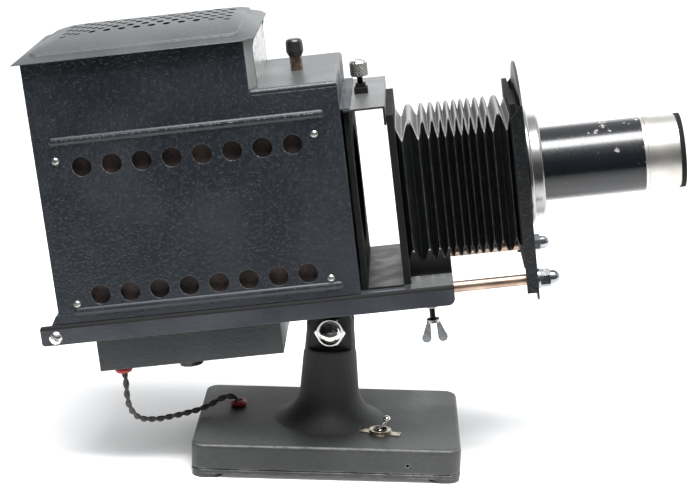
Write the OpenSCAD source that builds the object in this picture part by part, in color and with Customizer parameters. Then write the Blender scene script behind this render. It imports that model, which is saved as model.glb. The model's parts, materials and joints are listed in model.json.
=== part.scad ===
// Lantern-slide projector on a tilting stand: a sheet-metal lamp house on a folded rail,
// an open slide stage, leather bellows and a lens standard that slides on two rods.
// Millimetres, +Z up, +X towards the lens, the operator's side at -Y.
// The origin lies on the table, at the centre of the base, under the tilt axis.
// Everything above the tilt axis is drawn level and then tilted to its rest angle.

/* [Stand] */
// Length of the base along X
base_l = 231; // [210:1:260]
// Width of the base along Y
base_w = 162; // [150:1:190]
// Height of the base casting above its bottom plate
base_h = 21.7; // [19:0.1:30]
// Plan radius of the base corners
base_corner_r = 12; // [8:0.5:18]
// Radius of the base casting's top edge
base_edge_r = 3; // [1:0.5:5]
// Wall of the base casting
base_wall = 5; // [4:0.5:7]
// Thickness of the bottom plate
plate_t = 4.3; // [3:0.1:6]
// Height of the corner pads under the bottom plate
pad_h = 4; // [2:0.5:6]
// Length and width of a corner pad
pad_l = 28; // [20:1:36]

/* [Pillar and tilt] */
// Height of the tilt axis above the table
pivot_z = 113.5; // [106:0.5:125]
// Angle of the rail at rest, lens end up
rest_tilt = 7.6; // [0:0.1:12]
// Radius of the pillar at the tilt axis
neck_r = 21.7; // [20:0.1:24]
// Radius of the pillar where its flare begins
waist_r = 25.5; // [24:0.5:28]
// Radius of the flare
flare_r = 34; // [26:1:44]
// Slope of the flare where it runs out on the base
flare_slope = 18; // [14:1:30]
// Half thickness of the fork across its flats
fork_half = 13; // [12:0.5:16]
// Drop of the ledge under the flats, below the tilt axis
ledge_drop = 17; // [15:0.5:20]
// Thickness of the tilt lug that hangs from the rail into the fork
lug_t = 12; // [9:0.5:14]
// Diameter of the tilt bolt
bolt_d = 12; // [8:0.5:14]
// Width across flats of the tilt nut and the bolt head
nut_flats = 23.5; // [20:0.5:28]
// Height of the hexagon of the tilt nut and the bolt head
nut_h = 8; // [6:0.5:10]

/* [Rail] */
// Height of the rail deck above the tilt axis
deck_rise = 48.6; // [44:0.2:54]
// Depth of the rail's side flanges
rail_h = 17.3; // [16.5:0.1:22]
// Sheet thickness of the rail
rail_t = 2; // [1.5:0.1:2.5]
// How far the rail stands out beyond each house wall
rail_margin = 1.5; // [1:0.1:4]
// How far the rail's flanges reach behind the house
tail_l = 17.4; // [16:0.2:26]
// How far the rail reaches in front of the bellows' rear frame
rail_nose = 35.3; // [34:0.5:45]
// Radius of the rear corners of the rail's flanges
tail_r = 3; // [1:0.5:5]
// Radius of the rail's folded edges
rail_bend_r = 3; // [2:0.2:4]
// Radius of the front end's lower corners
rail_corner_r = 6; // [3:0.5:8]
// Distance of the house's pivot from the rail's rear end
pivot_in = 12.2; // [10:0.2:14]
// Distance of the house's pivot below the rail deck
pivot_drop = 10.9; // [10:0.1:12]
// Diameter of the rear pivot screws
pivot_screw_d = 6; // [4:0.5:8]
// Diameter of the pivot screws' round heads
pivot_head_d = 12; // [9:0.5:15]

/* [Lamp house] */
// Width over the side walls
house_w = 157; // [150:1:175]
// Length of the house
house_l = 254.5; // [245:0.5:275]
// Place of the house's front wall in front of the tilt axis
house_front = 33.5; // [30:0.5:40]
// Height of the shelf over the condenser above the house's lower edge
shelf_h = 180.6; // [172:0.2:190]
// Height of the side walls behind the shelf
house_h = 221.8; // [212:0.2:236]
// Length of the shelf, from the front wall to the upper front plate
shelf_l = 71.5; // [60:0.5:80]
// Sheet thickness of the house
sheet_t = 1.2; // [0.8:0.1:1.6]
// Radius of the shelf's folded edges
shelf_bend_r = 3.5; // [2:0.5:5]
// Width of the flanges bent in at the upper front
fold_w = 14; // [10:0.5:15]
// How far those flanges are bent in
fold_turn = 65; // [55:1:70]
// How much wider those flanges are at their tops
gusset_w = 6; // [2:0.5:6]
// Height of the wider tops of those flanges
gusset_h = 10; // [6:0.5:14]
// Thickness of the bright upper front plate
front_plate_t = 1.5; // [1:0.1:3]
// Height of the knob's post above the shelf
post_h = 12; // [8:0.5:16]
// Diameter of the knob's post
post_d = 10.5; // [8:0.5:14]
// Diameter of the handle knob
knob_d = 15; // [12:0.5:20]
// Height of the handle knob
knob_h = 15; // [12:0.5:20]

/* [Side vents] */
// Diameter of a vent hole
vent_d = 16.5; // [12:0.5:18]
// Vent holes in a row
vent_count = 8; // [4:1:8]
// Pitch of the vent holes
vent_pitch = 25; // [20:0.5:26]
// Distance of the first vent hole from the house's rear
vent_start = 38; // [34:0.5:42]
// Height of the lower row above the house's lower edge
vent_low = 22.3; // [21:0.1:24]
// Height of the upper row above the house's lower edge
vent_high = 132.3; // [120:0.1:138]
// Height of a pressed bead
bead_w = 6.5; // [5:0.5:8]
// How far a bead stands out of the wall
bead_out = 1.6; // [0.8:0.1:2.5]
// Distance of the upper bead above the upper row
bead_above = 22.8; // [18:0.1:26]
// Distance of the lower bead below the lower row
bead_below = 13; // [12.5:0.1:14]
// Distance of the beads' ends from the ends of the wall
bead_end = 10; // [6:0.5:14]
// Depth of the air gap between the wall and a baffle strip
baffle_gap = 6; // [4:0.5:9]
// Height of a baffle strip
baffle_h = 25; // [22:0.5:26]
// Thickness of a baffle strip
baffle_t = 1; // [0.6:0.1:1.5]
// Distance of the rear baffle screws from the house's rear
baffle_screw_in = 17; // [14:0.5:19]
// Distance of the front baffle screws from the house's front
baffle_screw_front = 23; // [20:0.5:25]
// Diameter of the baffle screw heads
baffle_head_d = 6.5; // [5:0.5:8]

/* [Vent cap] */
// Overhang of the cap beyond the walls
cap_over = 7; // [4:0.5:9]
// Overhang of the cap beyond the upper front
cap_front_over = 9.5; // [9:0.5:12]
// Length of the slanting cuts at the cap's front corners
cap_chamfer = 11; // [8:0.5:12]
// Height of the crown above the eaves
cap_rise = 14.2; // [12:0.2:20]
// Height of the hips where the crown begins
hip_h = 10; // [8:0.5:11]
// Length of the rear hip
hip_rear = 33.5; // [26:0.5:40]
// Length of the front hip
hip_front = 19; // [15:0.5:24]
// Distance of the cap's raised panel from the eaves
panel_in = 13; // [10:0.5:15]
// Height of the raised panel above the rest of the cap
panel_out = 1.6; // [0.6:0.1:2]
// Radius of the raised panel's corners
panel_r = 8; // [4:0.5:12]
// Diameter of a hole in the cap
cap_hole_d = 6.4; // [4:0.2:7]
// Holes in a row
cap_hole_count = 12; // [6:1:12]
// Pitch of the holes in a row
cap_hole_pitch = 12.6; // [9:0.1:12.8]
// Rows of holes
cap_rows = 7; // [3:1:9]
// Pitch of the rows
cap_row_pitch = 10; // [8:0.5:10.5]
// How far the holes lie in front of the cap's middle
cap_holes_shift = 5.5; // [0:0.5:8]

/* [Lamp and condenser] */
// Height of the optical axis above the rail deck
lens_rise = 76.7; // [73:0.1:82]
// Place of the lamp behind the tilt axis
lamp_back = 126; // [112:1:134]
// Diameter of the lamp bulb
bulb_d = 63.5; // [50:0.5:70]
// Height of the bulb above the optical axis
bulb_over = 70; // [60:1:84]
// Diameter of the lamp's metal base
lamp_base_d = 26.5; // [24:0.5:30]
// Height of the lamp's metal base
lamp_base_h = 18; // [15:0.5:22]
// Diameter of the lamp socket
socket_d = 48; // [40:1:54]
// Height of the lamp socket
socket_h = 17.4; // [14:0.2:20]
// Diameter of the reflector
reflector_d = 84; // [70:1:96]
// Radius of curvature of the reflector
reflector_r = 62; // [55:1:80]
// Distance of the reflector's centre behind the lamp
reflector_back = 54; // [48:0.5:60]
// Thickness of the reflector
reflector_t = 2; // [1.5:0.1:3]
// Diameter of the condenser lenses
condenser_d = 112; // [100:1:114]
// Radius of curvature of the condenser lenses
condenser_r = 100; // [90:1:120]
// Edge thickness of the condenser lenses
condenser_edge = 3; // [2:0.5:5]
// Wall of the condenser cell
cell_wall = 3; // [2:0.5:3.5]
// Width of the condenser cell's flange beyond the cell
cell_flange = 5; // [3:0.5:6]
// Thickness of the condenser cell's flange
cell_flange_t = 1.2; // [0.8:0.1:1.5]

/* [Wiring box] */
// Length of the wiring box
box_l = 157; // [140:1:170]
// Distance of the box's front wall behind the tilt axis
box_back = 37.4; // [36:0.2:46]
// Width of the wiring box
box_w = 140; // [120:1:150]
// Depth of the wiring box below the rail's flanges
box_drop = 29.7; // [22:0.1:30]
// Sheet thickness of the wiring box
box_t = 1.5; // [1:0.1:2]
// Diameter of the lamp clamp knob under the box
clamp_d = 23; // [18:0.5:28]
// Thickness of the lamp clamp knob
clamp_t = 4.5; // [3:0.5:7]
// Distance of the lamp clamp knob below the box
clamp_drop = 18; // [12:0.5:20]
// Diameter of the lamp clamp knob's stem
clamp_stem_d = 6; // [5:0.5:8]

/* [Slide stage] */
// Thickness of the stage plate
stage_t = 4.5; // [3:0.1:6]
// Distance of the stage plate from the house's front wall
stage_clear = 2; // [1.8:0.1:3]
// Width of the stage plate and of the stage floor
stage_w = 138; // [130:1:146]
// Width of the gap that takes the slide carrier
slide_gap = 30; // [26:0.5:34]
// Diameter of the stage plate's window
stage_window_d = 104; // [90:1:106]
// Thickness of the stage floor
floor_t = 2; // [1.5:0.1:3]
// Height of the bridge above the rail deck
bridge_rise = 155.4; // [150:0.2:164]
// Width of the bridge
bridge_w = 150; // [140:1:154]
// Sheet thickness of the bridge
bridge_t = 1.8; // [1.2:0.1:2.5]
// Depth of the bridge's front flange
bridge_flange = 16; // [14:0.5:20]
// Reach of the house's front strip over the bridge
strip_l = 6; // [4:0.5:8]
// Width of the nut block on the bridge
block_w = 11.6; // [10:0.2:14]
// Height of the nut block on the bridge
block_h = 5; // [4:0.1:7]
// Width of the lock nut on the nut block
lock_nut_w = 8.6; // [7.5:0.1:9.5]
// Height of the lock nut on the nut block
lock_nut_h = 3.3; // [2:0.1:5]
// Diameter of the thumb screw's knurled head
thumb_d = 15.6; // [12:0.2:20]
// Height of the thumb screw's knurled head
thumb_h = 13.6; // [10:0.2:16]
// Gap between the thumb screw's head and the nut block
thumb_reach = 6.3; // [4:0.1:9]
// Diameter of the thumb screw's shank
thumb_shank_d = 4.8; // [4:0.1:6]
// Distance that the thumb screw's tip stands out under the bridge
thumb_tip = 6; // [3:0.5:10]

/* [Bellows] */
// Length of the bellows between the frames
bellows_l = 95; // [85:1:110]
// Folds of the bellows
pleats = 12; // [8:1:14]
// Depth of a fold
pleat_depth = 12.6; // [9:0.2:14]
// Half width of the bellows at the middle of its folds
bellows_half_w = 46.3; // [44:0.1:49]
// Half height of the bellows at the middle of its folds
bellows_half_h = 54.7; // [53:0.1:57]
// Drop of the bellows' centre below the optical axis
bellows_drop = 3; // [0:0.5:4]
// How much wider the end folds are drawn than the middle ones
pleat_spread = 0.3; // [0:0.05:0.5]
// Depth of the bellows' wall, measured across its folds
bellows_wall = 1.8; // [1.2:0.1:2.4]
// Width of the bellows frames
frame_w = 128; // [124:1:132]
// Height of the rear frame above the rail deck
frame_h = 145.4; // [144:0.2:150]
// Thickness of the rear frame
frame_t = 6; // [4:0.5:8]
// Thickness of the front frame with its collar
front_frame_t = 8.7; // [6:0.1:10]
// Thickness of the front frame's flat rim
front_rim_t = 4.6; // [3:0.1:5]
// How far the front frame's collar lies inside its rim
front_rim_w = 9; // [6:0.5:12]
// Height of the front frame
front_frame_h = 140; // [130:1:142]

/* [Lens standard] */
// Width of the lens board
board_w = 139; // [136:1:150]
// Sheet thickness of the lens board
board_t = 1.8; // [1.2:0.1:2.5]
// Depth of the lens board's side flanges
board_flange = 10; // [7:0.5:12]
// Distance of the board's lower edge below the rail deck
board_below = 25.2; // [20:0.2:28]
// Height of the board's shoulders above the rail deck
shoulder_h = 142.8; // [140:0.2:150]
// Rise of the board's arched top above its shoulders
arch_rise = 24.5; // [16:0.5:30]
// Radius of the board's lower corners
board_corner_r = 8; // [4:0.5:12]
// Diameter of the rods
rod_d = 9.5; // [8:0.1:10.5]
// Distance of the rods from the middle
rod_y = 59; // [54:0.5:62]
// Reach of the rods behind the lens board
rod_l = 150; // [130:1:160]
// Width across flats of the rod nuts
rod_nut_flats = 14; // [12:0.5:17]
// Height of the hexagon of a rod nut
rod_nut_h = 8.5; // [5:0.5:9]
// Diameter of the rod nuts' washers
washer_d = 17; // [15:0.5:20]
// Thickness of the rod nuts' washers
washer_t = 2; // [1:0.1:3]
// Length of a rod guide
guide_l = 32; // [28:0.5:40]
// Width of a rod guide
guide_w = 16; // [14:0.5:20]
// Distance of the wing screw behind the rail's front end
wing_back = 20.3; // [16:0.1:24]
// Diameter of the wing screw's shank
wing_shank_d = 5; // [4:0.1:6]
// Length of the wing screw's bare shank under its boss
wing_shank_l = 10; // [6:0.5:12]
// Height of the boss under the rod guide
boss_h = 8; // [6:0.5:10]
// Diameter of the boss under the rod guide
boss_d = 9; // [8:0.5:12]
// Span of the wings
wing_span = 22; // [18:0.5:28]
// Length of the wings along the screw
wing_l = 17.5; // [14:0.5:22]

/* [Lens] */
// Outer diameter of the lens jacket
jacket_d = 63.5; // [56:0.5:66]
// Wall of the lens jacket
jacket_wall = 0.75; // [0.6:0.05:1.2]
// Length of the jacket in front of its flange
jacket_l = 86.4; // [76:0.2:95]
// Reach of the jacket behind the lens board
jacket_back = 9; // [6:0.5:12]
// Diameter of the flange's outer ring
flange_d = 100; // [94:0.5:106]
// Thickness of the flange's outer ring
flange_t = 5.5; // [4:0.1:7]
// Diameter of the flange's raised ring
collar_d = 88; // [80:0.5:92]
// Thickness of the flange's raised ring
collar_t = 9; // [6:0.1:11]
// Length of barrel that stands out of the jacket at rest
barrel_out = 34; // [28:0.5:40]
// Length of barrel inside the jacket at rest
barrel_in = 66; // [55:1:74]
// Wall of the barrel
barrel_wall = 1.6; // [1.2:0.1:2.4]
// Place of the barrel's bead in front of the jacket
bead_gap = 3; // [2.8:0.1:5]
// Width of the barrel's bead
barrel_bead_w = 4; // [3:0.2:6]
// Height of the barrel's bead
barrel_bead_h = 0.9; // [0.5:0.1:1.4]
// Length of the dark rim at the front of the barrel
rim_l = 4; // [3:0.2:6]
// Radius of curvature of the projection lenses
glass_r = 70; // [60:1:100]
// Edge thickness of the projection lenses
glass_edge = 3; // [2:0.5:5]
// Depth of the front lens behind the rim's front
glass_in = 7; // [6:0.5:10]

/* [Switch and cord] */
// Place of the switch along X
switch_x = 46; // [40:1:54]
// Place of the switch in front of the middle
switch_front = 40; // [36:1:48]
// Turn of the switch about its axis
switch_turn = -15; // [-40:1:40]
// Lean of the lever at rest
lever_lean = 25; // [15:1:28]
// Length of the lever from its pivot to the middle of its ball
lever_l = 13.5; // [12:0.5:18]
// Diameter of the lever's ball
lever_ball_d = 6.4; // [5:0.2:8]
// Diameter of the switch's threaded neck
switch_neck_d = 12; // [10:0.5:14]
// Outer diameter of the switch's ring nut
ring_d = 19; // [16:0.5:22]
// Thickness of the switch's ring nut
ring_t = 2.6; // [2:0.1:4]
// Length of the indicator plate
indicator_l = 36; // [30:1:40]
// Width of the indicator plate's tabs
indicator_w = 8; // [6:0.5:10]
// Thickness of the indicator plate
indicator_t = 0.8; // [0.5:0.1:1.2]
// Diameter of the cord
cord_d = 5.4; // [4:0.2:6]
// Diameter of the bushings' flanges
bushing_d = 15; // [13:0.5:17]
// Height of the bushings' flanges
bushing_h = 5.5; // [4:0.5:7]
// Diameter of the bushings' necks
bushing_neck_d = 10; // [9.5:0.5:12]

/* [Fits] */
// Radial clearance of turning and sliding fits
run_gap = 0.05; // [0.02:0.01:0.1]
// Gap between flat faces of parts that move apart
seat_gap = 0.3; // [0.2:0.05:0.5]
// Radial clearance of a screw in its clearance hole
hole_gap = 0.3; // [0.2:0.05:0.5]

/* [Hidden] */
$fn = 64;
// Overlap that makes two shapes of one piece one solid
join = 0.5;
// Overshoot of a cut past the faces that it opens
cut = 1;
// Overshoot of a cut that ends flush with the face it opens
flush = 0.01;

// Stand
seam_z = pad_h + plate_t;
base_top = seam_z + base_h;
waist_z = base_top + flare_r * cos(flare_slope);
foot_r = waist_r + flare_r * (1 - sin(flare_slope));
seam_h = 0.9;
seam_in = 1.5;
fork_slot_half = lug_t / 2 + seat_gap;
ear_rise = 18;
slot_below = 6;
slot_floor = pivot_z - ledge_drop - slot_below;
lug_foot = [3 * neck_r, 44, 6];
lug_margin = 4;
base_screw_d = 4;
base_screw_head_d = 8;
base_screw_in = 20;
base_boss_d = 9.6;
base_screw_l = 9;
maker_hole_d = 2.8;
maker_hole_x = 70;
nut_dome_r = nut_flats * 0.41;

// Switch, cord and bushings
neck_out = 1;
neck_r_switch = switch_neck_d / 2;
switch_body_size = [30, 17, 13];
lever_pivot_z = base_top + 1;
lever_shaft_d = 3.2;
bushing_bore_r = cord_d / 2 + 0.4;
bushing_mouth_r = 0.9 * (bushing_d / 2 - bushing_h / 2 - bushing_bore_r);
base_bushing_at = [-82, 22];
inlet_at = [40, seam_z + base_h / 2];
box_bushing_at = [-176.2, -60];
bushing_grip = 4;

// Rail, in the level frame of the tilt axis
deck_z = deck_rise;
deck_under = deck_z - rail_t;
rail_low = deck_z - rail_h;
rail_w = house_w + 2 * rail_margin;
house_rear_x = house_front - house_l;
rail_rear_x = house_rear_x - tail_l;
hinge_x = rail_rear_x + pivot_in;
hinge_z = deck_z - pivot_drop;
pivot_r = pivot_screw_d / 2;

// Lamp house
wall_low = deck_z + seat_gap;
shelf_z = wall_low + shelf_h;
wall_top = wall_low + house_h;
upper_x = house_front - shelf_l;
half_w = house_w / 2;
axis_z = deck_z + lens_rise;
arch_r = condenser_d / 2 + cell_wall + 4;
strap_t = 2.5;
strap_y = rail_w / 2 - rail_t - seat_gap - strap_t;
strap_foot_w = 22;
strap_foot_h = 7;
strap_eye_r = pivot_drop - rail_t - 1.5;
knob_x = upper_x + shelf_l / 2;
shelf_skirt = shelf_bend_r + 1;
wall_shelf_z = shelf_z - shelf_skirt;

// Vent cap
cap_half_w = half_w + cap_over;
cap_rear_x = house_rear_x - cap_over;
cap_front_x = upper_x + cap_front_over;
vault_r = (cap_half_w * cap_half_w + cap_rise * cap_rise) / (2 * cap_rise);
eave_in = 6;
cap_half_l = (cap_front_x - cap_rear_x) / 2;
cap_mid_x = (cap_front_x + cap_rear_x) / 2;
crown_half = cap_half_l - (hip_rear + hip_front) / 2;
crown_mid_x = cap_mid_x + (hip_rear - hip_front) / 2;
crown_sag = cap_rise - hip_h;
crown_r = (crown_half * crown_half + crown_sag * crown_sag) / (2 * crown_sag);

// Lamp and condenser
lamp_x = -lamp_back;
socket_top = deck_z + socket_h;
bulb_r = bulb_d / 2;
bulb_low = socket_top + lamp_base_h;
bulb_shoulder_h = 22;
socket_wall = 4;
socket_foot_h = socket_h * 0.4;
bulb_top = axis_z + bulb_over;
reflector_x = lamp_x - reflector_back;
reflector_half = reflector_d / 2;
bracket_w = 16;
bracket_t = 2;
stage_x = house_front + stage_clear;
lens_sag = condenser_r - sqrt(condenser_r * condenser_r - condenser_d * condenser_d / 4);
lens_t = condenser_edge + lens_sag;
lens_apart = 2;
cell_r = condenser_d / 2 + cell_wall;
cell_lip = 2;
cell_l = 2 * lens_t + lens_apart + 2 * cell_lip;

// Wiring box
box_front_x = -box_back;
box_rear_x = box_front_x - box_l;
box_low = rail_low - box_drop;

// Slide stage
slide_x = stage_x + stage_t;
frame_x = slide_x + slide_gap;
bridge_z = deck_z + bridge_rise;
thumb_x = slide_x + slide_gap / 3;

// Bellows
bellows_x = frame_x + frame_t + seat_gap;
bellows_end_x = bellows_x + bellows_l;
bellows_z = axis_z - bellows_drop;
window_half_w = bellows_half_w - 5;
window_half_h = bellows_half_h - 5;
stations = 2 * pleats + 1;

// Lens standard
front_frame_x = bellows_end_x + seat_gap;
board_x = front_frame_x + front_frame_t;
board_face = board_x + board_t;
board_low = deck_z - board_below;
shoulder_z = deck_z + shoulder_h;
board_arch_r = (board_w * board_w / 4 + arch_rise * arch_rise) / (2 * arch_rise);
rail_front_x = frame_x + frame_t + rail_nose;
rod_r = rod_d / 2;
rod_under_deck = 0.85;
rod_z = deck_under - rod_under_deck - rod_r;
rod_stud_r = rod_r * 0.7;
guide_low = rod_z - rod_r - 3;
wing_x = rail_front_x - wing_back;
boss_low = guide_low - boss_h;
wing_collar_h = 3;
wing_collar_d = 11;

// Lens
jacket_r = jacket_d / 2;
jacket_rear_x = board_x - jacket_back;
collar_x = board_face + flange_t;
jacket_front_x = collar_x + collar_t + jacket_l;
barrel_r = jacket_r - jacket_wall - run_gap;
barrel_front_x = jacket_front_x + barrel_out;
barrel_rear_x = jacket_front_x - barrel_in;
barrel_bore_r = barrel_r - barrel_wall;
glass_half = barrel_bore_r - run_gap;
glass_sag = glass_r - sqrt(glass_r * glass_r - glass_half * glass_half);

// Route of the cord on the stand, from the box's bushing to the base's bushing
cord_route = [
    [-175.1, -60, 93.8], [-174.1, -60, 86.3], [-172.8, -60, 76.3], [-172, -59.5, 64], [-169.5, -56, 51.5],
    [-162.5, -47.5, 40.5], [-150, -35.5, 35.5], [-138, -25, 34.5], [-126, -15, 34.5], [-115, -5.5, 35],
    [-106, 2.1, 37], [-99.2, 7.7, 39.8], [-92.5, 13.2, 41.1], [-87.2, 17.6, 39.6], [-83.7, 20.6, 35.3],
    [-82.2, 21.8, 29.6], [-82, 22, 26]
];
cord_steps = 2;
cord_sides = 10;

// Placing helpers
module on_rail() {
    translate([0, 0, pivot_z]) rotate([0, -rest_tilt, 0]) children();
}

module both_sides() {
    children();
    mirror([0, 1, 0]) children();
}

// Outline in the X Z plane, drawn into a sheet between two places along Y
module sheet_y(from, to) {
    translate([0, to, 0]) rotate([90, 0, 0]) linear_extrude(to - from) children();
}

// Outline in the Y Z plane, drawn into a sheet between two places along X
module sheet_x(from, to) {
    translate([from, 0, 0]) rotate([90, 0, 90]) linear_extrude(to - from) children();
}

// Shape turned about +Z, laid along +X on the optical axis
module optic(x) {
    translate([x, 0, axis_z]) rotate([0, 90, 0]) children();
}

module block(x, y, z) {
    translate([x[0], y[0], z[0]]) cube([x[1] - x[0], y[1] - y[0], z[1] - z[0]]);
}

module tube(outer_r, inner_r, h) {
    difference() {
        cylinder(r = outer_r, h = h);
        translate([0, 0, -cut]) cylinder(r = inner_r, h = h + 2 * cut);
    }
}

// Rectangle with round corners, centred
module soft_rectangle(l, w, r) {
    square([l - 2 * r, w], center = true);
    square([l, w - 2 * r], center = true);
    for (sx = [-1, 1], sy = [-1, 1])
        translate([sx * (l / 2 - r), sy * (w / 2 - r)]) circle(r);
}

// Plano-convex lens, flat side at zero, bulging along +Z
module plano_convex(half, r, edge) {
    sag = r - sqrt(r * r - half * half);
    intersection() {
        cylinder(r = half, h = edge + sag + cut);
        translate([0, 0, edge + sag - r]) sphere(r, $fn = 128);
    }
}

// Hexagon nut with a domed cap, seated at zero
module cap_nut(flats, h, dome_r, bore_r, bore_h) {
    difference() {
        union() {
            intersection() {
                cylinder(d = flats / cos(30), h = h, $fn = 6);
                cylinder(r1 = flats / 2 + h * tan(60), r2 = flats / 2, h = h);
            }
            translate([0, 0, h - join]) cylinder(r = dome_r, h = dome_r * 0.35 + join);
            translate([0, 0, h + dome_r * 0.35]) sphere(dome_r);
        }
        translate([0, 0, -cut]) cylinder(r = bore_r, h = bore_h + cut);
        translate([0, 0, -2 * dome_r]) cylinder(r = flats, h = 2 * dome_r);
    }
}

// Slotted screw with a low round head, seated at zero, shank below
module slotted_screw(head_d, head_h, shank_d, shank_l) {
    r = (head_d * head_d / 4 + head_h * head_h) / (2 * head_h);
    slot_w = head_d * 0.16;
    difference() {
        union() {
            intersection() {
                translate([0, 0, head_h - r]) sphere(r);
                cylinder(d = head_d, h = head_h + cut);
            }
            translate([0, 0, -shank_l]) cylinder(d = shank_d, h = shank_l + join);
        }
        translate([-head_d, -slot_w / 2, head_h * 0.55]) cube([2 * head_d, slot_w, head_h]);
    }
}

// Fibre bushing with a rounded flange above zero, whose mouth is rounded too, and a neck below it
module bushing(neck_l) {
    mouth = [bushing_bore_r + bushing_mouth_r, bushing_h - bushing_mouth_r];
    rotate_extrude() {
        difference() {
            union() {
                translate([0, -neck_l]) square([bushing_neck_d / 2, neck_l + join]);
                square([bushing_d / 2 - bushing_h / 2, bushing_h]);
                translate([bushing_d / 2 - bushing_h / 2, bushing_h / 2]) circle(bushing_h / 2);
            }
            translate([-bushing_d, -neck_l - cut])
                square([bushing_d + bushing_bore_r, neck_l + bushing_h + 2 * cut]);
            difference() {
                translate([bushing_bore_r - join, mouth[1]]) square([bushing_mouth_r + join, bushing_mouth_r + cut]);
                translate(mouth) circle(bushing_mouth_r);
            }
        }
    }
}

// Stand
module base_shell() {
    hull()
        for (sx = [-1, 1], sy = [-1, 1])
            translate([sx * (base_l / 2 - base_corner_r), sy * (base_w / 2 - base_corner_r), seam_z])
                rotate_extrude($fn = 32) {
                    square([base_corner_r, base_h - base_edge_r]);
                    square([base_corner_r - base_edge_r, base_h]);
                    translate([base_corner_r - base_edge_r, base_h - base_edge_r]) circle(base_edge_r);
                }
}

module pillar() {
    rotate_extrude() {
        polygon([
            [0, waist_z - join], [waist_r, waist_z - join], [waist_r, waist_z],
            [neck_r, pivot_z], [0, pivot_z]
        ]);
        difference() {
            translate([0, base_top - join]) square([foot_r, waist_z - base_top + join]);
            translate([waist_r + flare_r, waist_z]) circle(flare_r, $fn = 128);
        }
    }
    intersection() {
        translate([0, 0, pivot_z - join]) cylinder(r = neck_r, h = ear_rise + join);
        translate([0, neck_r, pivot_z]) rotate([90, 0, 0]) cylinder(r = neck_r, h = 2 * neck_r);
    }
}

module base_casting() {
    color("dimgray") difference() {
        union() {
            base_shell();
            pillar();
        }
        inner = base_corner_r - base_wall;
        translate([0, 0, seam_z - cut]) linear_extrude(base_h - base_wall + cut)
            soft_rectangle(base_l - 2 * base_wall, base_w - 2 * base_wall, inner);
        both_sides() block([-neck_r * 2, neck_r * 2], [fork_half, neck_r * 2],
                           [pivot_z - ledge_drop, pivot_z + neck_r + cut]);
        block([-neck_r * 2, neck_r * 2], [-fork_slot_half, fork_slot_half],
              [slot_floor, pivot_z + neck_r + cut]);
        translate([0, neck_r, pivot_z]) rotate([90, 0, 0]) cylinder(d = bolt_d + 2 * run_gap, h = 2 * neck_r);
        translate([switch_x, -switch_front, base_top - base_wall - cut])
            cylinder(r = neck_r_switch + hole_gap, h = base_wall + 2 * cut);
        switch_frame() translate([0, 0, base_top]) linear_extrude(flare_r)
            square([indicator_l + 2 * hole_gap, indicator_w + 2 * hole_gap], center = true);
        translate([base_bushing_at[0], base_bushing_at[1], base_top - base_wall - cut])
            cylinder(d = bushing_neck_d + 2 * run_gap, h = base_wall + 2 * cut);
        translate([inlet_at[0], base_w / 2 + cut, inlet_at[1]]) rotate([90, 0, 0])
            cylinder(d = bushing_neck_d + 2 * run_gap, h = base_wall + 2 * cut);
        translate([maker_hole_x, -base_w / 2 + base_wall + cut, seam_z + base_h / 3]) rotate([90, 0, 0])
            cylinder(d = maker_hole_d, h = base_wall + 2 * cut);
    }
    color("dimgray") difference() {
        base_screw_places() translate([0, 0, plate_t])
            cylinder(d = base_boss_d, h = base_h - base_wall + join);
        base_screw_places() cylinder(d = base_screw_d + 2 * run_gap, h = base_screw_l + cut);
    }
}

// Places of the bottom plate's screws, at the plate's underside
module base_screw_places() {
    for (sx = [-1, 1], sy = [-1, 1])
        translate([sx * (base_l / 2 - pad_l - base_screw_in), sy * (base_w / 2 - base_screw_in), pad_h]) children();
}

module base_plate() {
    pad_r = base_corner_r - 1;
    color("dimgray") difference() {
        union() {
            translate([0, 0, pad_h]) linear_extrude(plate_t - seam_h)
                soft_rectangle(base_l, base_w, base_corner_r);
            translate([0, 0, pad_h]) linear_extrude(plate_t)
                soft_rectangle(base_l - 2 * seam_in, base_w - 2 * seam_in, base_corner_r - seam_in);
            for (sx = [-1, 1], sy = [-1, 1])
                translate([sx * (base_l - pad_l) / 2, sy * (base_w - pad_l) / 2, 0])
                    linear_extrude(pad_h + join) soft_rectangle(pad_l - 1, pad_l - 1, pad_r);
        }
        base_screw_places() translate([0, 0, -cut]) cylinder(d = base_screw_d + 2 * hole_gap, h = plate_t + 2 * cut);
    }
}

module base_screws() {
    color("silver") base_screw_places()
        rotate([180, 0, 0]) slotted_screw(base_screw_head_d, 2.4, base_screw_d, base_screw_l);
}

module tilt_bolt() {
    color("gray") translate([0, 0, pivot_z]) rotate([90, 0, 0]) {
        translate([0, 0, -fork_half - nut_h]) cylinder(d = nut_flats / cos(30), h = nut_h, $fn = 6);
        translate([0, 0, -fork_half - join]) cylinder(d = bolt_d, h = 2 * fork_half + nut_h + join);
    }
}

module tilt_nut() {
    color("white") translate([0, -fork_half, pivot_z]) rotate([90, 0, 0])
        cap_nut(nut_flats, nut_h, nut_dome_r, bolt_d / 2 + run_gap, nut_h + 1);
}

module switch_frame() {
    translate([switch_x, -switch_front, 0]) rotate([0, 0, switch_turn]) children();
}

module switch_body() {
    under = base_top - base_wall;
    top = base_top + indicator_t + ring_t + neck_out;
    color("black") switch_frame() difference() {
        union() {
            translate([-switch_body_size[0] / 2, -switch_body_size[1] / 2, under - switch_body_size[2]])
                cube(switch_body_size);
            translate([0, 0, under - join]) cylinder(r = neck_r_switch, h = top - under + join);
        }
        translate([0, 0, lever_pivot_z]) sphere(neck_r_switch * 0.62);
        translate([0, 0, lever_pivot_z])
            cylinder(r1 = neck_r_switch * 0.5, r2 = neck_r_switch * 0.93, h = top - lever_pivot_z + flush);
    }
}

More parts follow.
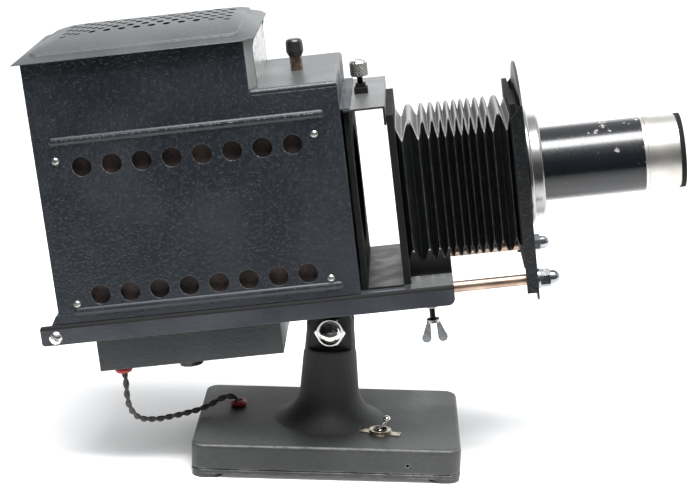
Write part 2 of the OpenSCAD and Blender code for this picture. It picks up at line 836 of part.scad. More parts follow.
module switch_plate() {
    color("tan") switch_frame() translate([0, 0, base_top]) difference() {
        linear_extrude(indicator_t) {
            circle(ring_d / 2 + 1);
            square([indicator_l, indicator_w], center = true);
        }
        translate([0, 0, -cut]) cylinder(r = neck_r_switch + hole_gap, h = indicator_t + 2 * cut);
    }
}

module switch_nut() {
    color("tan") switch_frame() translate([0, 0, base_top + indicator_t])
        tube(ring_d / 2, neck_r_switch + run_gap, ring_t);
}

module toggle_lever() {
    color("lightgray") switch_frame() translate([0, 0, lever_pivot_z]) rotate([0, lever_lean, 0]) {
        sphere(neck_r_switch * 0.55);
        cylinder(d = lever_shaft_d, h = lever_l);
        translate([0, 0, lever_l]) sphere(d = lever_ball_d);
    }
}

module base_bushing() {
    color("darkred") translate([base_bushing_at[0], base_bushing_at[1], base_top]) bushing(base_wall);
}

module inlet_bushing() {
    color("darkred") translate([inlet_at[0], base_w / 2, inlet_at[1]]) rotate([-90, 0, 0]) bushing(base_wall);
}

// Point of the cord's smooth curve through its route, between two route points
function route_at(i) = cord_route[max(0, min(len(cord_route) - 1, i))];
function curve_at(i, u) =
    let (a = route_at(i - 1), b = route_at(i), c = route_at(i + 1), d = route_at(i + 2))
    0.5 * (2 * b + (c - a) * u + (2 * a - 5 * b + 4 * c - d) * u * u + (3 * b - 3 * c + d - a) * u * u * u);
cord_path = [
    for (i = [0 : len(cord_route) - 2], k = [0 : cord_steps - 1]) curve_at(i, k / cord_steps),
    cord_route[len(cord_route) - 1]
];
function unit(v) = v / norm(v);
function cord_along(i) =
    unit(cord_path[min(i + 1, len(cord_path) - 1)] - cord_path[max(i - 1, 0)]);
function cord_across(i) = unit(cross(cord_along(i), [0.3, 1, 0.1]));

module lamp_cord() {
    last = len(cord_path) - 1;
    ring_points = [
        for (i = [0 : last], k = [0 : cord_sides - 1])
            let (side = cord_across(i), up = cross(cord_along(i), side), a = 360 * k / cord_sides)
            cord_path[i] + cord_d / 2 * (cos(a) * side + sin(a) * up)
    ];
    walls = [
        for (i = [0 : last - 1], k = [0 : cord_sides - 1])
            let (n = (k + 1) % cord_sides, a = i * cord_sides, b = a + cord_sides)
            each [[a + k, b + k, b + n], [a + k, b + n, a + n]]
    ];
    start_cap = [[for (k = [0 : cord_sides - 1]) k]];
    end_cap = [[for (k = [cord_sides - 1 : -1 : 0]) last * cord_sides + k]];
    color([0.16, 0.14, 0.14]) polyhedron(ring_points, concat(walls, start_cap, end_cap));
}

// Rail and what hangs under it
module rail_flange_outline() {
    l = rail_front_x - rail_rear_x;
    translate([rail_rear_x + tail_r, rail_low]) square([l - tail_r - rail_corner_r, rail_h]);
    translate([rail_rear_x, rail_low + tail_r]) square([l / 2, rail_h - 2 * tail_r]);
    translate([rail_rear_x + l / 2, rail_low + rail_corner_r]) square([l / 2, rail_h - rail_corner_r]);
    for (z = [rail_low + tail_r, deck_z - tail_r]) translate([rail_rear_x + tail_r, z]) circle(tail_r);
    translate([rail_front_x - rail_corner_r, rail_low + rail_corner_r]) circle(rail_corner_r);
}

module rail() {
    color("slategray") on_rail() difference() {
        union() {
            block([house_rear_x, rail_front_x], [-rail_w / 2, rail_w / 2], [deck_under, deck_z]);
            both_sides() sheet_y(rail_w / 2 - rail_t, rail_w / 2) rail_flange_outline();
            block([rail_front_x - rail_t, rail_front_x], [-rail_w / 2 + join, rail_w / 2 - join],
                  [rail_low + rail_corner_r, deck_z]);
        }
        translate([hinge_x, rail_w, hinge_z]) rotate([90, 0, 0]) cylinder(r = pivot_r + run_gap, h = 2 * rail_w);
        both_sides() difference() {
            block([rail_rear_x - cut, rail_front_x + cut], [rail_w / 2 - rail_bend_r, rail_w / 2 + cut],
                  [deck_z - rail_bend_r, deck_z + cut]);
            translate([rail_rear_x - 2 * cut, rail_w / 2 - rail_bend_r, deck_z - rail_bend_r]) rotate([0, 90, 0])
                cylinder(r = rail_bend_r, h = rail_front_x - rail_rear_x + 4 * cut);
        }
        both_sides() translate([rail_front_x - rail_t - cut, rod_y, rod_z]) rotate([0, 90, 0])
            cylinder(r = rod_r + run_gap, h = rail_t + 2 * cut);
        translate([lamp_x, 0, deck_under - cut]) cylinder(d = clamp_stem_d + 2 * run_gap, h = rail_t + 2 * cut);
    }
}

module tilt_lug() {
    web_l = 2 * (neck_r - lug_margin);
    foot_z = deck_under - lug_foot[2];
    color("dimgray") on_rail() difference() {
        union() {
            block([-lug_foot[0] / 2, lug_foot[0] / 2], [-lug_foot[1] / 2, lug_foot[1] / 2], [foot_z, deck_under]);
            block([-web_l / 2, web_l / 2], [-lug_t / 2, lug_t / 2], [0, foot_z + join]);
            translate([0, lug_t / 2, 0]) rotate([90, 0, 0]) cylinder(d = web_l, h = lug_t);
        }
        translate([0, lug_t, 0]) rotate([90, 0, 0]) cylinder(d = bolt_d + 2 * run_gap, h = 2 * lug_t);
    }
}

module wiring_box() {
    color("slategray") on_rail() difference() {
        block([box_rear_x, box_front_x], [-box_w / 2, box_w / 2], [box_low, deck_under]);
        block([box_rear_x + box_t, box_front_x - box_t], [-box_w / 2 + box_t, box_w / 2 - box_t],
              [box_low + box_t, deck_under + cut]);
        translate([box_bushing_at[0], box_bushing_at[1], box_low - cut])
            cylinder(d = bushing_neck_d + 2 * run_gap, h = box_t + 2 * cut);
        translate([lamp_x, 0, box_low - cut]) cylinder(d = clamp_stem_d + 2 * run_gap, h = box_t + 2 * cut);
    }
}

module box_bushing() {
    color("red") on_rail() translate([box_bushing_at[0], box_bushing_at[1], box_low])
        rotate([180, 0, 0]) bushing(bushing_grip);
}

module lamp_knob() {
    knob_z = box_low - clamp_drop - clamp_t;
    color("black") on_rail() translate([lamp_x, 0, knob_z]) {
        cylinder(d1 = clamp_d - 2, d2 = clamp_d, h = clamp_t);
        translate([0, 0, -1.2]) cylinder(d = clamp_stem_d, h = 1.2 + join);
        translate([0, 0, clamp_t - join])
            cylinder(d = clamp_stem_d, h = deck_z - knob_z - clamp_t + join - seat_gap);
    }
}

module lamp_socket() {
    color("ivory") on_rail() translate([lamp_x, 0, deck_z]) {
        cylinder(d = socket_d, h = socket_foot_h);
        translate([0, 0, socket_foot_h - join])
            cylinder(d = lamp_base_d + 2 * socket_wall, h = socket_h - socket_foot_h + join);
    }
}

module lamp_base() {
    color("goldenrod") on_rail() translate([lamp_x, 0, socket_top]) cylinder(d = lamp_base_d, h = lamp_base_h);
}

module lamp_bulb() {
    color("aliceblue") on_rail() translate([lamp_x, 0, 0]) {
        translate([0, 0, bulb_low]) cylinder(r1 = lamp_base_d / 2, r2 = bulb_r, h = bulb_shoulder_h);
        translate([0, 0, bulb_low + bulb_shoulder_h - join])
            cylinder(r = bulb_r, h = bulb_top - bulb_r - bulb_low - bulb_shoulder_h + join);
        translate([0, 0, bulb_top - bulb_r]) sphere(bulb_r);
    }
}

// Hollow mirror, its hollow side towards the lamp
module reflector() {
    color("silver") on_rail() optic(reflector_x) intersection() {
        difference() {
            translate([0, 0, reflector_r]) sphere(reflector_r, $fn = 128);
            translate([0, 0, reflector_r]) sphere(reflector_r - reflector_t, $fn = 128);
        }
        translate([0, 0, -cut]) cylinder(r = reflector_half, h = reflector_r);
    }
}

module reflector_bracket() {
    post_x = reflector_x - bracket_t - seat_gap;
    color("gray") on_rail() {
        block([post_x, post_x + bracket_t], [-bracket_w / 2, bracket_w / 2], [deck_z, axis_z + bracket_w / 2]);
        block([post_x - bracket_w, post_x + join], [-bracket_w / 2, bracket_w / 2], [deck_z, deck_z + bracket_t]);
    }
}

module condenser_cell() {
    rear_x = stage_x - cell_l;
    color([0.15, 0.15, 0.16]) on_rail() {
        optic(rear_x) tube(cell_r, condenser_d / 2 + run_gap, cell_l);
        optic(rear_x) tube(condenser_d / 2 + join, condenser_d / 2 - cell_lip, cell_lip - run_gap);
        optic(stage_x - cell_flange_t) tube(cell_r + cell_flange, cell_r - join, cell_flange_t);
    }
}

module condenser_lens_rear() {
    color("lightcyan") on_rail() optic(stage_x - cell_l + cell_lip)
        plano_convex(condenser_d / 2, condenser_r, condenser_edge);
}

module condenser_lens_front() {
    color("lightcyan") on_rail() optic(stage_x - run_gap) rotate([180, 0, 0])
        plano_convex(condenser_d / 2, condenser_r, condenser_edge);
}

// Slide stage
module stage_plate() {
    color([0.1, 0.1, 0.11]) on_rail() difference() {
        block([stage_x, slide_x], [-stage_w / 2, stage_w / 2], [deck_z, bridge_z - bridge_t]);
        optic(stage_x - cut) cylinder(d = stage_window_d, h = stage_t + 2 * cut);
    }
}

module stage_floor() {
    color("darkgray") on_rail()
        block([slide_x, frame_x], [-stage_w / 2, stage_w / 2], [deck_z, deck_z + floor_t]);
}

module stage_bridge() {
    color("darkgray") on_rail() difference() {
        union() {
            block([stage_x, frame_x], [-bridge_w / 2, bridge_w / 2], [bridge_z - bridge_t, bridge_z]);
            block([frame_x - bridge_t, frame_x], [-bridge_w / 2, bridge_w / 2],
                  [bridge_z - bridge_flange, bridge_z - bridge_t + join]);
        }
        translate([thumb_x, 0, bridge_z - bridge_t - cut])
            cylinder(d = thumb_shank_d + 2 * run_gap, h = bridge_t + 2 * cut);
    }
}

module bridge_block() {
    nut_half = lock_nut_w / 2;
    color([0.1, 0.1, 0.1]) on_rail() difference() {
        union() {
            block([thumb_x - block_w / 2, thumb_x + block_w / 2], [-block_w / 2, block_w / 2],
                  [bridge_z, bridge_z + block_h]);
            block([thumb_x - nut_half, thumb_x + nut_half], [-nut_half, nut_half],
                  [bridge_z, bridge_z + block_h + lock_nut_h]);
        }
        translate([thumb_x, 0, bridge_z - cut])
            cylinder(d = thumb_shank_d + 2 * run_gap, h = block_h + lock_nut_h + 2 * cut);
    }
}

module thumb_screw() {
    head_z = bridge_z + block_h + lock_nut_h + thumb_reach;
    tip_z = bridge_z - bridge_t - thumb_tip;
    crown = 1.6;
    color("silver") on_rail() translate([thumb_x, 0, 0]) {
        translate([0, 0, head_z]) cylinder(d = thumb_d, h = thumb_h - crown);
        translate([0, 0, head_z + thumb_h - crown]) cylinder(d1 = thumb_d, d2 = thumb_d - 2 * crown, h = crown);
        translate([0, 0, tip_z]) cylinder(d = thumb_shank_d, h = head_z - tip_z + join);
    }
}

// Bellows and its frames
module bellows_rear_frame() {
    color([0.1, 0.1, 0.11]) on_rail() difference() {
        block([frame_x, frame_x + frame_t], [-frame_w / 2, frame_w / 2], [deck_z, deck_z + frame_h]);
        block([frame_x - cut, frame_x + frame_t + cut], [-window_half_w, window_half_w],
              [bellows_z - window_half_h, bellows_z + window_half_h]);
    }
}

// Place of a fold along the bellows, with the end folds drawn wider
function station_x(i) =
    let (u = i / stations)
    bellows_x + bellows_l * (u + pleat_spread * sin(360 * u) / (2 * PI));
// Swing of the wall at a fold: out on the sides when positive, out at top and bottom when negative
function swing(i) = i == 0 || i == stations ? 0 : (i % 2 == 1 ? 1 : -1) * pleat_depth / 2;
function fold_ring(i, inset) =
    let (w = bellows_half_w + swing(i) - inset, h = bellows_half_h - swing(i) - inset, x = station_x(i))
    [[x, -w, bellows_z - h], [x, w, bellows_z - h], [x, w, bellows_z + h], [x, -w, bellows_z + h]];

module bellows() {
    rings = stations + 1;
    skin = 4 * rings;
    points = [
        for (inset = [0, bellows_wall], i = [0 : stations], k = [0 : 3]) fold_ring(i, inset)[k]
    ];
    outer = [
        for (i = [0 : stations - 1], k = [0 : 3])
            let (n = (k + 1) % 4, a = 4 * i, b = a + 4)
            each [[a + k, b + n, b + k], [a + k, a + n, b + n]]
    ];
    inner = [for (f = outer) [f[0] + skin, f[2] + skin, f[1] + skin]];
    ends = [
        for (k = [0 : 3])
            let (n = (k + 1) % 4, z = 4 * stations)
            each [
                [k, skin + n, n], [k, skin + k, skin + n],
                [z + k, z + n, z + skin + n], [z + k, z + skin + n, z + skin + k]
            ]
    ];
    color([0.08, 0.08, 0.08]) on_rail() polyhedron(points, concat(outer, inner, ends));
}

module bellows_front_frame() {
    low = bellows_z - front_frame_h / 2;
    collar = frame_w / 2 - front_rim_w;
    color([0.1, 0.1, 0.11]) on_rail() difference() {
        union() {
            block([front_frame_x, front_frame_x + front_rim_t], [-frame_w / 2, frame_w / 2],
                  [low, low + front_frame_h]);
            block([front_frame_x, board_x], [-collar, collar],
                  [low + front_rim_w, low + front_frame_h - front_rim_w]);
        }
        block([front_frame_x - cut, board_x + cut], [-window_half_w, window_half_w],
              [bellows_z - window_half_h, bellows_z + window_half_h]);
    }
}

// Guides that carry the rods under the deck, the near one with the clamp screw's boss
module rod_guides() {
    front = rail_front_x - rail_t;
    color("lightgray") on_rail() difference() {
        union() {
            both_sides() block([front - guide_l, front], [rod_y - guide_w / 2, rod_y + guide_w / 2],
                               [guide_low, deck_under]);
            translate([wing_x, -rod_y, boss_low]) cylinder(d = boss_d, h = boss_h + join);
        }
        both_sides() translate([front - guide_l - cut, rod_y, rod_z]) rotate([0, 90, 0])
            cylinder(r = rod_r + run_gap, h = guide_l + 2 * cut);
        translate([wing_x, -rod_y, boss_low - cut])
            cylinder(d = wing_shank_d + 2 * run_gap, h = rod_z - boss_low);
    }
}

module wing_screw() {
    collar_z = boss_low - wing_shank_l - wing_collar_h;
    wing_t = 2.6;
    root_w = 3;
    root_x = (wing_collar_d - root_w) / 2;
    lobe_r = wing_span / 5.4;
    lobe_at = [wing_span / 2 - lobe_r, wing_l - lobe_r];
    color("lightgray") on_rail() translate([wing_x, -rod_y, 0]) {
        translate([0, 0, collar_z]) cylinder(d = wing_shank_d, h = rod_z - rod_r - seat_gap - collar_z);
        translate([0, 0, collar_z]) cylinder(d = wing_collar_d, h = wing_collar_h);
        translate([0, 0, collar_z]) sheet_y(-wing_t / 2, wing_t / 2) {
            for (s = [0, 1]) mirror([s, 0]) {
                translate([lobe_at[0], -lobe_at[1]]) circle(lobe_r);
                polygon([
                    [root_x - root_w / 2, join], [root_x + root_w / 2, join],
                    [lobe_at[0] + lobe_r, -lobe_at[1]], [lobe_at[0] - lobe_r, -lobe_at[1]]
                ]);
            }
        }
    }
}

module pivot_screws() {
    reach = rail_t + seat_gap + strap_t + 1.5;
    color("silver") on_rail() both_sides() translate([hinge_x, -rail_w / 2, hinge_z])
        rotate([90, 35, 0]) slotted_screw(pivot_head_d, 3.6, pivot_screw_d, reach);
}

// Lamp house
module wall_outline() {
    polygon([
        [house_rear_x, wall_low], [house_front, wall_low], [house_front, wall_shelf_z],
        [upper_x, wall_shelf_z], [upper_x, wall_top], [house_rear_x, wall_top]
    ]);
}

function baffle_screw_x(front) = front ? house_front - baffle_screw_front : house_rear_x + baffle_screw_in;
function vent_z(high) = wall_low + (high ? vent_high : vent_low);
// The upper strip's screws sit above its row of holes, the lower strip's screws below
function baffle_screw_z(high) = vent_z(high) + (high ? 1 : -1) * baffle_h * 0.26;

// Rounded bead pressed out of the wall, along X
module bead(from, to, z) {
    bead_r = (bead_w * bead_w / 4 + bead_out * bead_out) / (2 * bead_out);
    depth = bead_r - bead_out;
    intersection() {
        union() {
            translate([from, half_w - depth, z]) rotate([0, 90, 0]) cylinder(r = bead_r, h = to - from);
            for (x = [from, to]) translate([x, half_w - depth, z]) sphere(bead_r);
        }
        block([from - bead_w, to + bead_w], [half_w - sheet_t / 2, half_w + bead_out + cut],
              [z - bead_w, z + bead_w]);
    }
}

// Side wall on the +Y side
module house_side() {
    difference() {
        union() {
            sheet_y(half_w - sheet_t, half_w) wall_outline();
            translate([upper_x, half_w, 0]) rotate([0, 0, -fold_turn]) sheet_y(-sheet_t, 0) polygon([
                [0, shelf_z], [0, wall_top], [fold_w + gusset_w, wall_top],
                [fold_w, wall_top - gusset_h], [fold_w, shelf_z]
            ]);
            bead(house_rear_x + bead_end + bead_w, house_front - bead_end - bead_w, vent_z(true) + bead_above);
            bead(house_rear_x + bead_end + bead_w, house_front - bead_end - bead_w, vent_z(false) - bead_below);
        }
        for (high = [true, false], i = [0 : vent_count - 1])
            translate([house_rear_x + vent_start + i * vent_pitch, half_w + cut, vent_z(high)])
                rotate([90, 0, 0]) cylinder(d = vent_d, h = sheet_t + 2 * cut);
        for (high = [true, false], front = [true, false])
            translate([baffle_screw_x(front), half_w + cut, baffle_screw_z(high)])
                rotate([90, 0, 0]) cylinder(d = baffle_head_d * 0.5 + 2 * run_gap, h = sheet_t + 2 * cut);
    }
}

module house_side_right() {
    color([0.22, 0.25, 0.29]) on_rail() house_side();
}

module house_side_left() {
    color([0.22, 0.25, 0.29]) on_rail() mirror([0, 1, 0]) house_side();
}

module house_rear() {
    inside = half_w - sheet_t;
    color([0.22, 0.25, 0.29]) on_rail()
        block([house_rear_x, house_rear_x + sheet_t], [-inside, inside], [wall_low, wall_top]);
}

// Front wall with an arch that lifts clear over the condenser, and a strip that lies over the bridge
module house_front_wall() {
    inside = half_w - sheet_t;
    color([0.22, 0.25, 0.29]) on_rail() {
        difference() {
            block([house_front - sheet_t, house_front], [-inside, inside], [wall_low, wall_shelf_z]);
            optic(house_front - sheet_t - cut) cylinder(r = arch_r, h = sheet_t + 2 * cut);
            block([house_front - sheet_t - cut, house_front + cut], [-arch_r, arch_r], [wall_low - cut, axis_z]);
        }
        block([house_front - join, house_front + stage_clear + strip_l], [-bridge_w / 2, bridge_w / 2],
              [bridge_z + seat_gap, bridge_z + seat_gap + sheet_t]);
    }
}

// Folded tray of the shelf, round at its sides and front; inset draws the inside of its sheet
module shelf_form(inset) {
    r = shelf_bend_r - inset;
    side = half_w - inset;
    front = house_front - inset;
    top = shelf_z - inset;
    rear = upper_x - (inset > 0 ? cut : 0);
    low = wall_shelf_z - (inset > 0 ? cut : 0);
    intersection() {
        sheet_x(rear, front) {
            translate([-side, low]) square([2 * side, top - r - low]);
            translate([-side + r, low]) square([2 * (side - r), top - low]);
            for (s = [-1, 1]) translate([s * (side - r), top - r]) circle(r);
        }
        sheet_y(-side, side) {
            translate([rear, low]) square([front - rear, top - r - low]);
            translate([rear, low]) square([front - r - rear, top - low]);
            translate([front - r, top - r]) circle(r);
        }
        block([rear, front], [-side, side], [low, top]);
    }
}

module house_shelf() {
    color([0.5, 0.52, 0.54]) on_rail() difference() {
        shelf_form(0);
        shelf_form(sheet_t);
    }
}

module upper_front_plate() {
    inside = half_w - fold_w * sin(fold_turn) - sheet_t / cos(fold_turn) - seat_gap;
    front = upper_x + fold_w * cos(fold_turn);
    color("gainsboro") on_rail()
        block([front - front_plate_t, front], [-inside, inside], [shelf_z, wall_top]);
}

// Outline of the cap from above, with its front corners cut off
module cap_plan(inset) {
    rear = cap_rear_x + inset;
    front = cap_front_x - inset;
    side = cap_half_w - inset;
    polygon([
        [rear, -side], [front - cap_chamfer, -side], [front, cap_chamfer - side],
        [front, side - cap_chamfer], [front - cap_chamfer, side], [rear, side]
    ]);
}

// Vaulted roof with hips at both ends; inset draws the inside of its sheet
module roof(inset) {
    intersection() {
        sheet_x(cap_rear_x, cap_front_x) intersection() {
            translate([0, cap_rise - vault_r]) circle(vault_r - inset, $fn = 180);
            translate([-cap_half_w, 0]) square([2 * cap_half_w, cap_rise]);
        }
        sheet_y(-cap_half_w, cap_half_w) intersection() {
            polygon([
                [cap_rear_x + 2 * inset, 0], [cap_rear_x + hip_rear * 2 + 2 * inset, 2 * hip_h],
                [cap_front_x - hip_front * 2 - 2 * inset, 2 * hip_h], [cap_front_x - 2 * inset, 0]
            ]);
            translate([crown_mid_x, cap_rise - crown_r]) circle(crown_r - inset, $fn = 180);
        }
        linear_extrude(cap_rise) cap_plan(2 * inset);
    }
}

// Raised panel of the cap; inset draws the inside of its sheet
module cap_panel(inset) {
    intersection() {
        translate([0, 0, panel_out]) roof(inset);
        translate([cap_mid_x, 0, 0]) linear_extrude(cap_rise + panel_out + cut)
            soft_rectangle(2 * (cap_half_l - panel_in - inset), 2 * (cap_half_w - panel_in - inset), panel_r - inset);
    }
}

module vent_cap() {
    holes_l = (cap_hole_count - 1) * cap_hole_pitch;
    color([0.5, 0.52, 0.54]) on_rail() translate([0, 0, wall_top]) {
        difference() {
            union() {
                roof(0);
                cap_panel(0);
            }
            translate([0, 0, -flush]) roof(sheet_t);
            cap_panel(sheet_t);
            for (r = [0 : cap_rows - 1], i = [0 : cap_hole_count - 1 - r % 2])
                translate([
                    cap_mid_x + cap_holes_shift - holes_l / 2 + (i + (r % 2) / 2) * cap_hole_pitch,
                    (r - (cap_rows - 1) / 2) * cap_row_pitch, 0
                ]) cylinder(d = cap_hole_d, h = cap_rise + panel_out + cut, $fn = 24);
        }
        intersection() {
            roof(0);
            difference() {
                block([cap_rear_x, cap_front_x], [-cap_half_w, cap_half_w], [0, sheet_t]);
                block([house_rear_x + eave_in, upper_x - eave_in], [-half_w + eave_in, half_w - eave_in],
                      [-cut, sheet_t + cut]);
            }
        }
    }
}

// Strips that hide the lamp behind the vent holes, bent out to the wall at both ends
module baffle(high) {
    inside = half_w - sheet_t;
    tab = baffle_screw_in - 2;
    x0 = baffle_screw_x(false) - tab / 2;
    x1 = baffle_screw_x(true) + tab / 2;
    z = vent_z(high);
    translate([0, 0, z - baffle_h / 2]) difference() {
        linear_extrude(baffle_h) polygon([
            [x0, inside], [x0 + tab, inside], [x0 + tab + baffle_gap, inside - baffle_gap],
            [x1 - tab - baffle_gap, inside - baffle_gap], [x1 - tab, inside], [x1, inside],
            [x1, inside - baffle_t], [x1 - tab + baffle_t / 2, inside - baffle_t],
            [x1 - tab - baffle_gap + baffle_t / 2, inside - baffle_gap - baffle_t],
            [x0 + tab + baffle_gap - baffle_t / 2, inside - baffle_gap - baffle_t],
            [x0 + tab - baffle_t / 2, inside - baffle_t], [x0, inside - baffle_t]
        ]);
        for (front = [true, false])
            translate([baffle_screw_x(front), inside + cut, baffle_screw_z(high) - z + baffle_h / 2])
                rotate([90, 0, 0]) cylinder(d = baffle_head_d * 0.5 + 2 * run_gap, h = baffle_t + 2 * cut);
    }
}

module baffles() {
    color([0.25, 0.17, 0.13]) on_rail() both_sides() for (high = [true, false]) baffle(high);
}

module baffle_screws() {
    color("tan") on_rail() both_sides()
        for (high = [true, false], front = [true, false])
            translate([baffle_screw_x(front), -half_w, baffle_screw_z(high)]) rotate([90, 0, 0])
                slotted_screw(baffle_head_d, 1.8, baffle_head_d * 0.5, sheet_t + baffle_t + 1);
}

// Straps behind the rear wall that hang the house on the rail's pivot screws
module hinge_straps() {
    back = house_rear_x - seat_gap;
    lean = strap_eye_r * sin(45);
    foot_top = wall_low + strap_foot_h;
    color("dimgray") on_rail() both_sides() difference() {
        union() {
            sheet_y(strap_y, strap_y + strap_t) {
                translate([hinge_x, hinge_z]) circle(strap_eye_r);
                polygon([
                    [hinge_x - lean, hinge_z + lean], [hinge_x, hinge_z], [back, hinge_z], [back, foot_top],
                    [back - strap_t, foot_top]
                ]);
            }
            block([house_rear_x - strap_t, house_rear_x], [strap_y + strap_t - strap_foot_w, strap_y + strap_t],
                  [wall_low + seat_gap, foot_top]);
        }
        translate([hinge_x, strap_y + strap_t + cut, hinge_z]) rotate([90, 0, 0])
            cylinder(r = pivot_r + run_gap, h = strap_t + 2 * cut);
    }
}

module knob_post() {
    color("peru") on_rail() translate([knob_x, 0, shelf_z]) cylinder(d = post_d, h = post_h);
}

module handle_knob() {
    r = knob_d / 2;
    foot_r = r - 2;
    top_r = r - 0.4;
    round_r = knob_d * 0.22;
    round_z = knob_h - round_r;
    color([0.08, 0.08, 0.08]) on_rail() translate([knob_x, 0, shelf_z + post_h]) rotate_extrude() {
        polygon([[0, 0], [foot_r, 0], [r, knob_h * 0.3], [top_r, round_z], [0, round_z]]);
        translate([0, round_z - join]) square([top_r - round_r, round_r + join]);
        translate([top_r - round_r, round_z]) circle(round_r);
    }
}

// Lens standard
module board_outline() {
    difference() {
        union() {
            translate([-board_w / 2, board_low + board_corner_r])
                square([board_w, shoulder_z - board_low - board_corner_r]);
            translate([-board_w / 2 + board_corner_r, board_low])
                square([board_w - 2 * board_corner_r, board_corner_r + join]);
            for (s = [-1, 1])
                translate([s * (board_w / 2 - board_corner_r), board_low + board_corner_r]) circle(board_corner_r);
            intersection() {
                translate([0, shoulder_z + arch_rise - board_arch_r]) circle(board_arch_r, $fn = 180);
                translate([-board_w / 2, shoulder_z - join]) square([board_w, arch_rise + join]);
            }
        }
        translate([0, axis_z]) circle(jacket_r + run_gap);
        for (s = [-1, 1]) translate([s * rod_y, rod_z]) circle(rod_stud_r + run_gap);
    }
}

module lens_board() {
    color([0.2, 0.22, 0.26]) on_rail() {
        sheet_x(board_x, board_face) board_outline();
        both_sides() sheet_y(board_w / 2 - board_t, board_w / 2) polygon([
            [board_x + join, board_low + board_corner_r], [board_x + join, shoulder_z],
            [board_x, shoulder_z], [board_face - board_flange, shoulder_z - board_flange],
            [board_face - board_flange, board_low + board_corner_r]
        ]);
    }
}

module rods() {
    color("peru") on_rail() both_sides() translate([board_x - rod_l, rod_y, rod_z]) rotate([0, 90, 0]) {
        cylinder(r = rod_r, h = rod_l);
        translate([0, 0, rod_l - join]) cylinder(r = rod_stud_r, h = join + board_t + washer_t + rod_nut_h);
    }
}

module rod_nuts() {
    color("white") on_rail() both_sides() translate([board_face, rod_y, rod_z]) rotate([0, 90, 0]) {
        tube(washer_d / 2, rod_stud_r + run_gap, washer_t);
        translate([0, 0, washer_t])
            cap_nut(rod_nut_flats, rod_nut_h, rod_nut_flats * 0.43, rod_stud_r + run_gap, rod_nut_h + 0.5);
    }
}

// Spun flange: an outer ring, a raised ring and a rounded neck round the jacket
module lens_flange() {
    color("white") on_rail() optic(board_face) rotate_extrude($fn = 96) difference() {
        union() {
            square([flange_d / 2 - flange_t / 2, flange_t]);
            translate([flange_d / 2 - flange_t / 2, flange_t / 2]) circle(flange_t / 2);
            translate([0, flange_t - join]) square([collar_d / 2 - collar_t / 3, collar_t + join]);
            translate([0, flange_t - join]) square([collar_d / 2, collar_t * 2 / 3 + join]);
            translate([collar_d / 2 - collar_t / 3, flange_t + collar_t * 2 / 3]) circle(collar_t / 3);
        }
        translate([-cut, -cut]) square([jacket_r + run_gap + cut, flange_t + collar_t + 2 * cut]);
    }
}

module lens_jacket() {
    color("black") on_rail() optic(jacket_rear_x)
        tube(jacket_r, jacket_r - jacket_wall, jacket_front_x - jacket_rear_x);
}

// Barrel that slides in the jacket, with a bead that stops it
module lens_barrel() {
    total = barrel_front_x - rim_l - barrel_rear_x;
    bead_x = jacket_front_x + bead_gap + barrel_bead_w / 2 - barrel_rear_x;
    color("silver") on_rail() optic(barrel_rear_x) rotate_extrude($fn = 96) {
        translate([barrel_bore_r, 0]) square([barrel_wall, total]);
        translate([barrel_r - join, bead_x - barrel_bead_w / 2]) square([barrel_bead_h + join, barrel_bead_w]);
    }
}

module lens_rim() {
    color("black") on_rail() optic(barrel_front_x - rim_l) {
        tube(barrel_r + barrel_bead_h, barrel_bore_r, rim_l);
    }
}

module front_glass() {
    color("lightcyan") on_rail() optic(barrel_front_x - glass_in - glass_edge - glass_sag)
        plano_convex(glass_half, glass_r, glass_edge);
}

module rear_glass() {
    color("lightcyan") on_rail() optic(barrel_rear_x + glass_edge + glass_sag + 2) rotate([180, 0, 0])
        plano_convex(glass_half, glass_r, glass_edge);
}

base_casting();
base_plate();
base_screws();
tilt_bolt();
tilt_nut();
switch_body();
switch_plate();
switch_nut();
toggle_lever();
base_bushing();
inlet_bushing();
lamp_cord();
rail();
tilt_lug();
wiring_box();
box_bushing();
lamp_knob();
lamp_socket();
lamp_base();
lamp_bulb();
reflector();
reflector_bracket();
condenser_cell();
condenser_lens_rear();
condenser_lens_front();
stage_plate();
stage_floor();
stage_bridge();
bridge_block();
thumb_screw();
bellows_rear_frame();
bellows();
rod_guides();
wing_screw();
pivot_screws();
house_side_left();
house_side_right();
house_rear();
house_front_wall();
house_shelf();
upper_front_plate();
vent_cap();
baffles();
baffle_screws();
hinge_straps();
knob_post();
handle_knob();
lens_board();
bellows_front_frame();
rods();
rod_nuts();
lens_flange();
lens_jacket();
lens_barrel();
lens_rim();
front_glass();
rear_glass();
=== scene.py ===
import json
import math

import bpy
from mathutils import Matrix, Vector, noise


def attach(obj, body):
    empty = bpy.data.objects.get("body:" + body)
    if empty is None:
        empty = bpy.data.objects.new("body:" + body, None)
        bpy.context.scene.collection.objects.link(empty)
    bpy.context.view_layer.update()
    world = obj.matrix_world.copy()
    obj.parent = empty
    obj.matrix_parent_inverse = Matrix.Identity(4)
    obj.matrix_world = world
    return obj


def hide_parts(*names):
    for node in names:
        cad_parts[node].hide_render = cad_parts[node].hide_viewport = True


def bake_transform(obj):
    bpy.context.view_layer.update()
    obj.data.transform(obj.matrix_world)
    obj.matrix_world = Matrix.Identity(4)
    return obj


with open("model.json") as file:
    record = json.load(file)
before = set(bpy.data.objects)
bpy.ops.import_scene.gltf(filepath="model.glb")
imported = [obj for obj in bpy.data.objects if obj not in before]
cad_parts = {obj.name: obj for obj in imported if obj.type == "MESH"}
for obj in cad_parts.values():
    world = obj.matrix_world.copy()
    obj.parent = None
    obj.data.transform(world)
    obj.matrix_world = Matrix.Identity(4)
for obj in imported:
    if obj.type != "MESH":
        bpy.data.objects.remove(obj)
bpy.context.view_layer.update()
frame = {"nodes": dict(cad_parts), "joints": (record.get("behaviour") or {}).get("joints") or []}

mm = 0.001
nodes = frame["nodes"]
joints = {joint["name"]: joint for joint in frame["joints"]}


